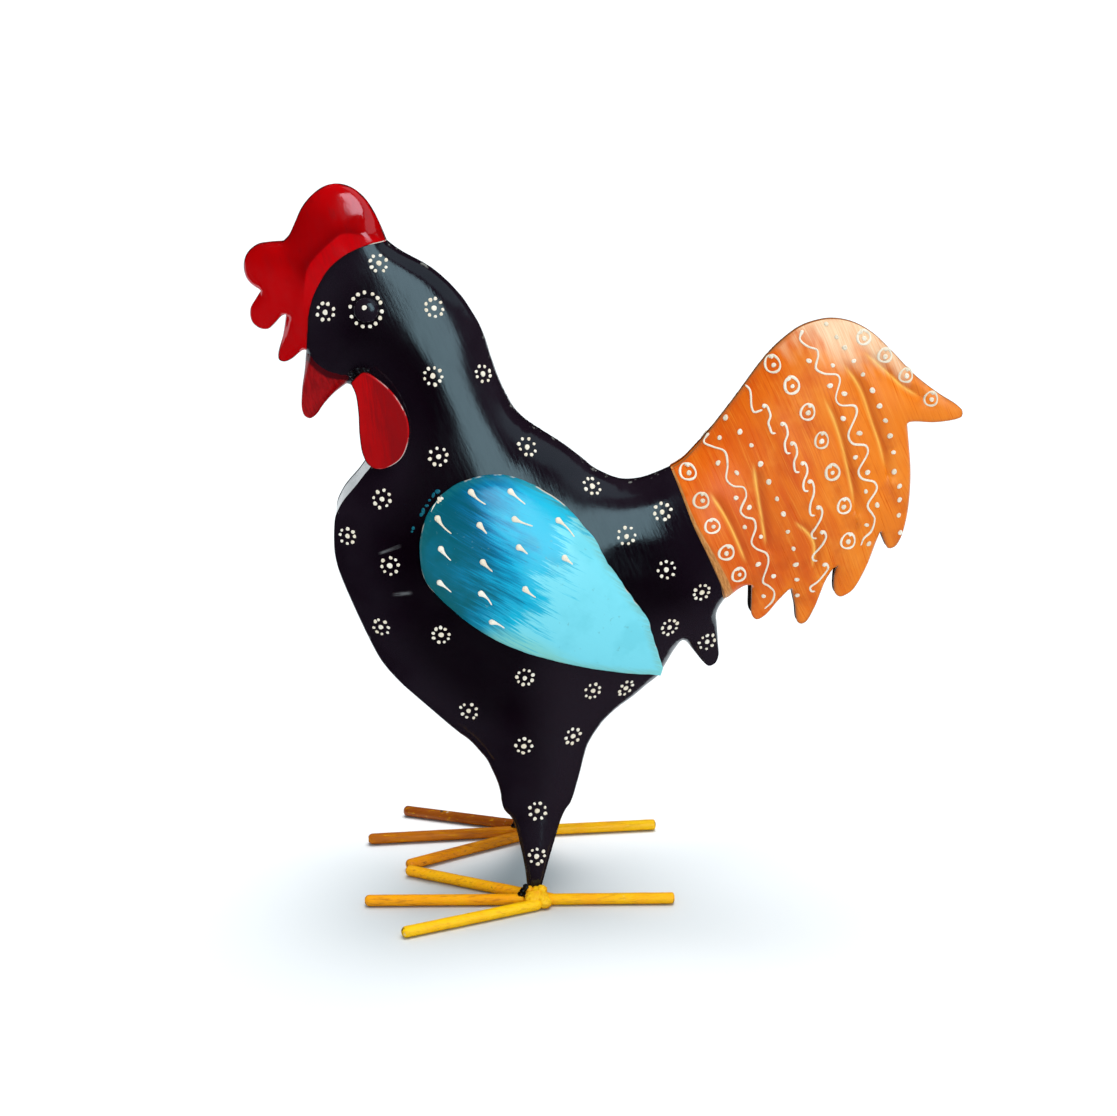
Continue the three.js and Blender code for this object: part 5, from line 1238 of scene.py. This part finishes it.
def rod_piece(name, a, b, tone_left, tone_right, node, ends, seed):
    for side, tone in (("left", tone_left), ("right", tone_right)):
        lot = Lot()
        rounded_tube(lot, (a[0], a[1], ROD), (b[0], b[1], ROD), ROD, ends, seed=seed + (7 if side == "right" else 0))
        P, F, H, values = lot.all()
        t = np.array([b[0] - a[0], b[1] - a[1], 0.0])
        L = np.linalg.norm(t)
        run = (P - np.array([a[0], a[1], ROD])) @ (t / L)
        values = {"tone": tone(run / L), "tip_mm": np.minimum(run + (0 if ends[0] > 0.5 else 99), L - run)}
        shape = (P, F, H, values)
        piece(f"{side}_{name}_rod", shape if side == "left" else other_side(shape), OCHRE, f"{side}_{node}", sharp=50)


def shade(*stops):
    x, y = zip(*stops)
    return lambda s: np.interp(s, x, y)


# tone stops for the two sides, partly the paint's own yellow to brown and partly painted shade: the far rods, under the
# body, are set browner and darker, the near ones yellower
rod_piece("long_toe", TOE_FRONT_TIP, TOE_BACK_TIP, shade((0, 0.21), (0.45, 0.19), (0.62, 0.08), (1, 0.13)),
          shade((0, 0.72), (0.5, 0.6), (0.62, 0.1), (1, 0.0)), "long_toe", (2.6, 1.3), 1)
rod_piece("outer_toe", (TOE_CROSSING[0] - 6.4, TOE_CROSSING[1] - 4.9), TOE_OUTER_TIP, shade((0, 0.0), (1, 0.0)), shade((0, 0.9), (1, 1.0)), "outer_toe", (3.2, 2.2), 2)
rod_piece("inner_toe", TOE_CROSSING, TOE_INNER_TIP, shade((0, 0.13), (1, 0.15)), shade((0, 0.5), (1, 0.42)), "inner_toe", (0.2, 2.4), 3)

lot = Lot()
ax, ay = ANKLE
for c, r, s in (((ax - 2.2, ay - 2.2, 5.0), (6.0, 6.0, 4.9), 3), ((ax - 5.2, ay - 1.0, 8.4), (2.3, 2.4, 2.5), 5), ((ax + 1.6, ay - 0.8, 7.9), (2.9, 3.0, 3.1), 8),
                ((ax + 1.4, ay - 4.6, 4.8), (3.8, 3.6, 4.2), 9), ((ax - 3.6, ay - 5.4, 4.6), (4.4, 3.4, 4.0), 12), ((ax + 2.4, ay - 5.8, 3.5), (4.2, 3.5, 3.3), 14)):
    lump(lot, c, r, s, 0.10, 0.5, 34, 22, 0.3)
pair("ankle_weld_bead", lot.all(), OCHRE_WELD, "ankle_weld", sharp=70)
lot = Lot()
for c, r, s in (((ax - 7.0, ay - 1.2, 10.2), (1.7, 1.7, 2.1), 3), ((ax - 8.6, ay - 1.4, 8.2), (1.8, 1.7, 1.9), 6), ((ax - 9.8, ay - 1.4, 6.4), (1.6, 1.6, 1.5), 7),
                ((ax - 7.4, ay - 3.0, 6.6), (1.3, 1.3, 1.4), 8)):
    lump(lot, c, r, s, 0.22, 0.6, 24, 14, 0.4)
pair("ankle_spatter", lot.all(), BLACK_WELD, sharp=70)

# ---------------------------------------------------------------- raised paint


def rosette(lot, surface, x, z, count, ring, turn):
    dot(lot, surface, x + RNG.normal(0, 0.12), z + RNG.normal(0, 0.12), 1.36 * RNG.uniform(0.90, 1.10), 0.45)
    P, N = frame_at(surface, x, z)
    n = N[0]
    for k in range(count):
        a = turn + 2 * math.pi * (k + RNG.normal(0, 0.09)) / count
        # spread along the sheet, so that it foreshortens where the sheet turns away
        u, w = np.array([1.0, 0, 0]) - n * n[0], np.array([0, 0, 1.0]) - n * n[2]
        u, w = u / np.linalg.norm(u), w / np.linalg.norm(w)
        q = (u * math.cos(a) + w * math.sin(a)) * ring * RNG.uniform(0.95, 1.05)
        dot(lot, surface, x + q[0], z + q[2], 0.94 * RNG.uniform(0.80, 1.14), 0.5, stretch=RNG.uniform(0.92, 1.1), turn=RNG.uniform(0, 3))


lot = Lot()
for i, (x, z) in enumerate(ROSETTES):
    rosette(lot, skin, x, z, (8, 8, 9, 9, 8, 8, 8, 8, 8)[i % 9], 4.3 * RNG.uniform(0.94, 1.05), RNG.uniform(0, 1))
P, N = frame_at(skin, *EYE)
for a in np.radians((94, 64, 41.5, 23.3, -6.4, -29.3, -54.4, -76.8, -103.3, -128.8, -156.4, 169.5, 140.7, 118.3)):
    dot(lot, skin, EYE[0] + 7.9 * math.cos(a), EYE[1] + 0.2 + 8.5 * math.sin(a), 1.0 * RNG.uniform(0.92, 1.08), 0.45)
pair("body_dots", lot.all(), CREAM, sharp=60)


def eye_skin(x, z):
    r = np.hypot(np.asarray(x) - EYE[0], np.asarray(z) - EYE[1])
    return skin(x, z) + 0.1 + 2.5 * np.sqrt(np.clip(1 - (r / 6.3) ** 2, 0, 1))


lot = Lot()
dot(lot, eye_skin, PUPIL[0][0], PUPIL[0][1] - 0.3, 1.25, 0.55)
pair("pupil_dot", lot.all(), CREAM, sharp=60)

lot = Lot()
for hx, hz, tx, tz in DROPS:
    L = math.hypot(tx - hx, tz - hz)
    bow = RNG.uniform(-0.08, 0.14) * L
    s = np.linspace(0, 1, max(16, int(L / 0.45)))
    nx, nz = -(tz - hz) / L, (tx - hx) / L
    ux, uz = (tx - hx) / L, (tz - hz) / L
    path = np.stack([hx - 1.2 * ux + (tx - hx + 1.2 * ux) * s + nx * bow * np.sin(math.pi * s), hz - 1.2 * uz + (tz - hz + 1.2 * uz) * s + nz * bow * np.sin(math.pi * s)], 1)
    run = s * (L + 1.2)
    wide = 2.35 * np.exp(-(np.clip(run - 1.5, 0, 99) / 2.3) ** 1.5) + 0.95 * (1 - 0.3 * s)
    stroke(lot, wing_skin, path, np.minimum(wide, 3.5), 0.34)
pair("wing_drops", lot.all(), CREAM, sharp=60)


def ring(lot, surface, x, z, rx, rz, wide, turn):
    """A ring drawn in one go: it starts with a blob inside the ring, and its end crosses the start and turns in too."""
    a = np.linspace(-0.42, 2 * math.pi + RNG.uniform(0.15, 0.5), 54)
    tuck = RNG.uniform(0.22, 0.36)
    k = 1 + 0.04 * np.sin(2 * a + 3 * turn) + 0.04 * np.sin(3 * a + turn) - tuck * np.exp(-(((a + 0.42) / 0.42) ** 2)) - 0.8 * tuck * np.exp(-(((a[-1] - a) / 0.38) ** 2))
    path = np.stack([x + rx * k * np.cos(a + turn), z + rz * k * np.sin(a + turn)], 1)
    w = wide * (1 + 0.2 * np.sin(3 * a + 2 * turn)) * (1 + 0.9 * np.exp(-(((a + 0.25) / 0.3) ** 2)) + 0.35 * np.exp(-(((a[-1] - 0.2 - a) / 0.35) ** 2)))
    stroke(lot, surface, path, w, 0.4)


lot = Lot()
for group, rx, rz in ((RINGS_ROOT, 3.7, 4.0), (RINGS_MID, 3.5, 4.5), (RINGS_TOP, 3.35, 3.8)):
    for x, z in group:
        ring(lot, tail_skin, x, z, rx * RNG.uniform(0.93, 1.05), rz * RNG.uniform(0.93, 1.05), 1.24 * RNG.uniform(0.85, 1.15), math.pi / 2 + RNG.uniform(-0.3, 0.6))
        dot(lot, tail_skin, x + RNG.normal(0.3, 0.3), z + RNG.normal(-0.4, 0.3), 1.26 * RNG.uniform(0.85, 1.15), 0.55)
for x, z in WAVE_DOTS + DOT_ROWS:
    dot(lot, tail_skin, x, z, 1.38 * RNG.uniform(0.8, 1.12), 0.55, stretch=RNG.uniform(0.88, 1.18), turn=RNG.uniform(0, 3))
for wave_line in (WAVE_ROOT, WAVE_MID):
    path = refine(wave_line, 0.6, False)
    s = np.linspace(0, 1, len(path))
    w = 1.1 * (1 + 0.26 * uneven(s * 60, 0 * s, 3.0, 31)) * (1 + 1.5 * (1 - smooth(0.0, 0.028, s)))
    stroke(lot, tail_skin, path, w, 0.42)
path = refine(HOOK_START, 0.6, False)
stroke(lot, tail_skin, path, np.full(len(path), 1.1), 0.42)
for hx, hz, tx, tz in HOOKS:
    # a fat head, a slanting stem and a short foot to the right
    d = np.array([tx - hx, tz - hz])
    pts = [(hx - 1.6, hz - 0.2), (hx + 0.6, hz + 0.3), (hx + 1.9, hz - 2.0), (hx + 1.6 + 0.25 * d[0], hz + 0.35 * d[1]), (hx - 0.4 + 0.5 * d[0], hz + 0.62 * d[1]),
           (tx - 1.6, tz + 2.6), (tx - 0.6, tz + 0.2), (tx + 1.4, tz + 0.1)]
    path = refine(pts, 0.6, False)
    s = np.linspace(0, 1, len(path))
    stroke(lot, tail_skin, path, 1.12 * (1 + 1.45 * np.exp(-((s - 0.05) / 0.07) ** 2)) * (1 + 0.15 * uneven(s * 30, 0 * s, 3, 33)), 0.4)
pair("tail_relief_lines", lot.all(), TAIL_CREAM, sharp=60)

# bare chips on the wing's front edge
lot = Lot()
stroke(lot, wing_skin, np.array([(-94.0, 216.6), (-92.6, 219.4), (-91.0, 221.6)]), np.array([0.5, 0.8, 0.7]), 0.2)
for x, z, r in ((-89.6, 222.9, 1.25), (-88.3, 223.6, 0.8), (-90.4, 221.6, 0.7)):
    dot(lot, wing_skin, x, z, r, 0.2, stretch=1.2, turn=0.6)
piece("wing_edge_chips", lot.all(), CREAM, sharp=60)

# smears of blue paint round the wing's front edge, and a few splashes beside it
lot = Lot()
for x, z, r in ((-98.9, 214.6, 1.0), (-97.9, 216.4, 1.3), (-96.0, 219.2, 0.9), (-103.2, 207.5, 0.9), (-103.8, 205.8, 0.6), (-92.6, 224.6, 1.1), (-90.4, 226.4, 1.3), (-94.6, 222.0, 0.7)):
    dot(lot, skin, x, z, r, 0.25, stretch=RNG.uniform(0.7, 1.4), turn=RNG.uniform(0, 3))
P, F, H, values = lot.all()
values["rim_mm"] = np.full(len(P), 5.0)
piece("wing_paint_splashes", (P, F, H, values), AQUA, sharp=60)

# ---------------------------------------------------------------- floor, light and camera

scene = bpy.context.scene
S = 40.0
p = Paint("pale_floor", 0.85, 0.1)
PALE = p.finish(p.mix(p.noise(3, 2), lin(243, 246, 249, 1.0), lin(248, 250, 252, 1.0)))
floors = []
for name, y0, y1 in (("floor_front", -S, 0.06), ("floor_back", 0.06, S)):
    me = bpy.data.meshes.new(name)
    me.from_pydata([(-S, y0, 0), (S, y0, 0), (S, y1, 0), (-S, y1, 0)], [], [(0, 1, 2, 3)])
    me.materials.append(PALE)
    floors.append(bpy.data.objects.new(name, me))
    scene.collection.objects.link(floors[-1])
# the floor in front is flagged out of the gloss
floors[0].visible_glossy = False

world = bpy.data.worlds.new("studio")
scene.world = world
world.use_nodes = True
bg = world.node_tree.nodes["Background"]
bg.inputs[0].default_value = (0.74, 0.92, 1.0, 1.0)
bg.inputs[1].default_value = 0.42
world.cycles_visibility.glossy = False


def lamp(kind, name, at, look, power, colour, turn=0.0, **more):
    L = bpy.data.lights.new(name, kind)
    L.energy = power
    L.color = colour
    for k, v in more.items():
        setattr(L, k, v)
    o = bpy.data.objects.new(name, L)
    o.location = at
    aim = (Vector(look) - Vector(at)).to_track_quat("-Z", "Y") @ Quaternion((0, 0, 1), math.radians(turn))
    o.rotation_euler = aim.to_euler()
    scene.collection.objects.link(o)
    return o


# for the bird: a large tilted softbox in front on the right, a dim one above it and wide soft light from above; for the
# floor: light from above and a light far behind
softbox = lamp("AREA", "front_softbox", (1.385, -3.560, 1.472), (-0.07, -0.03, 0.28), 49.0, (0.97, 0.985, 1.0), turn=20.0, shape="RECTANGLE", size=1.628, size_y=2.541)
fill = lamp("AREA", "side_softbox", (2.293, -1.286, 3.253), (-0.07, -0.03, 0.28), 19.0, (0.97, 0.985, 1.0), shape="RECTANGLE", size=2.9, size_y=3.73)
above = lamp("SUN", "overhead_light", (0.1, -0.2, 3.0), (0.0, 0.0, 0.0), 2.35, (1.0, 0.965, 0.93), angle=math.radians(62))
above_floor = lamp("SUN", "overhead_floor_light", (0.42, 0.55, 3.0), (0.0, 0.0, 0.0), 2.86, (1.0, 0.955, 0.925), angle=math.radians(43))
behind = lamp("AREA", "background_light", (0.0, 9.0, 6.0), (0.0, 9.0, 0.0), 160.0, (1.0, 1.0, 1.0), shape="RECTANGLE", size=20.0, size_y=14.0)
above.visible_glossy = above_floor.visible_glossy = behind.visible_glossy = False

lit, under = bpy.data.collections.new("lit_by_softbox"), bpy.data.collections.new("lit_floor")
for o in scene.objects:
    if o.type == "MESH":
        (under if o in floors else lit).objects.link(o)
softbox.light_linking.receiver_collection = fill.light_linking.receiver_collection = above.light_linking.receiver_collection = lit
above_floor.light_linking.receiver_collection = under

cam = bpy.data.cameras.new("camera")
cam.sensor_width = 36.0
cam.sensor_fit = "HORIZONTAL"
cam.lens = 63.52
cam.clip_start, cam.clip_end = 0.05, 200.0
eye = bpy.data.objects.new("camera", cam)
eye.location = (-0.09288, -0.9893, 0.50287)
eye.rotation_euler = (math.radians(90 - 17.958), 0.0, math.radians(-3.7975))
scene.collection.objects.link(eye)
scene.camera = eye

scene.view_settings.view_transform = "Standard"
scene.view_settings.look = "None"
scene.view_settings.exposure = 0.0
scene.view_settings.gamma = 1.0
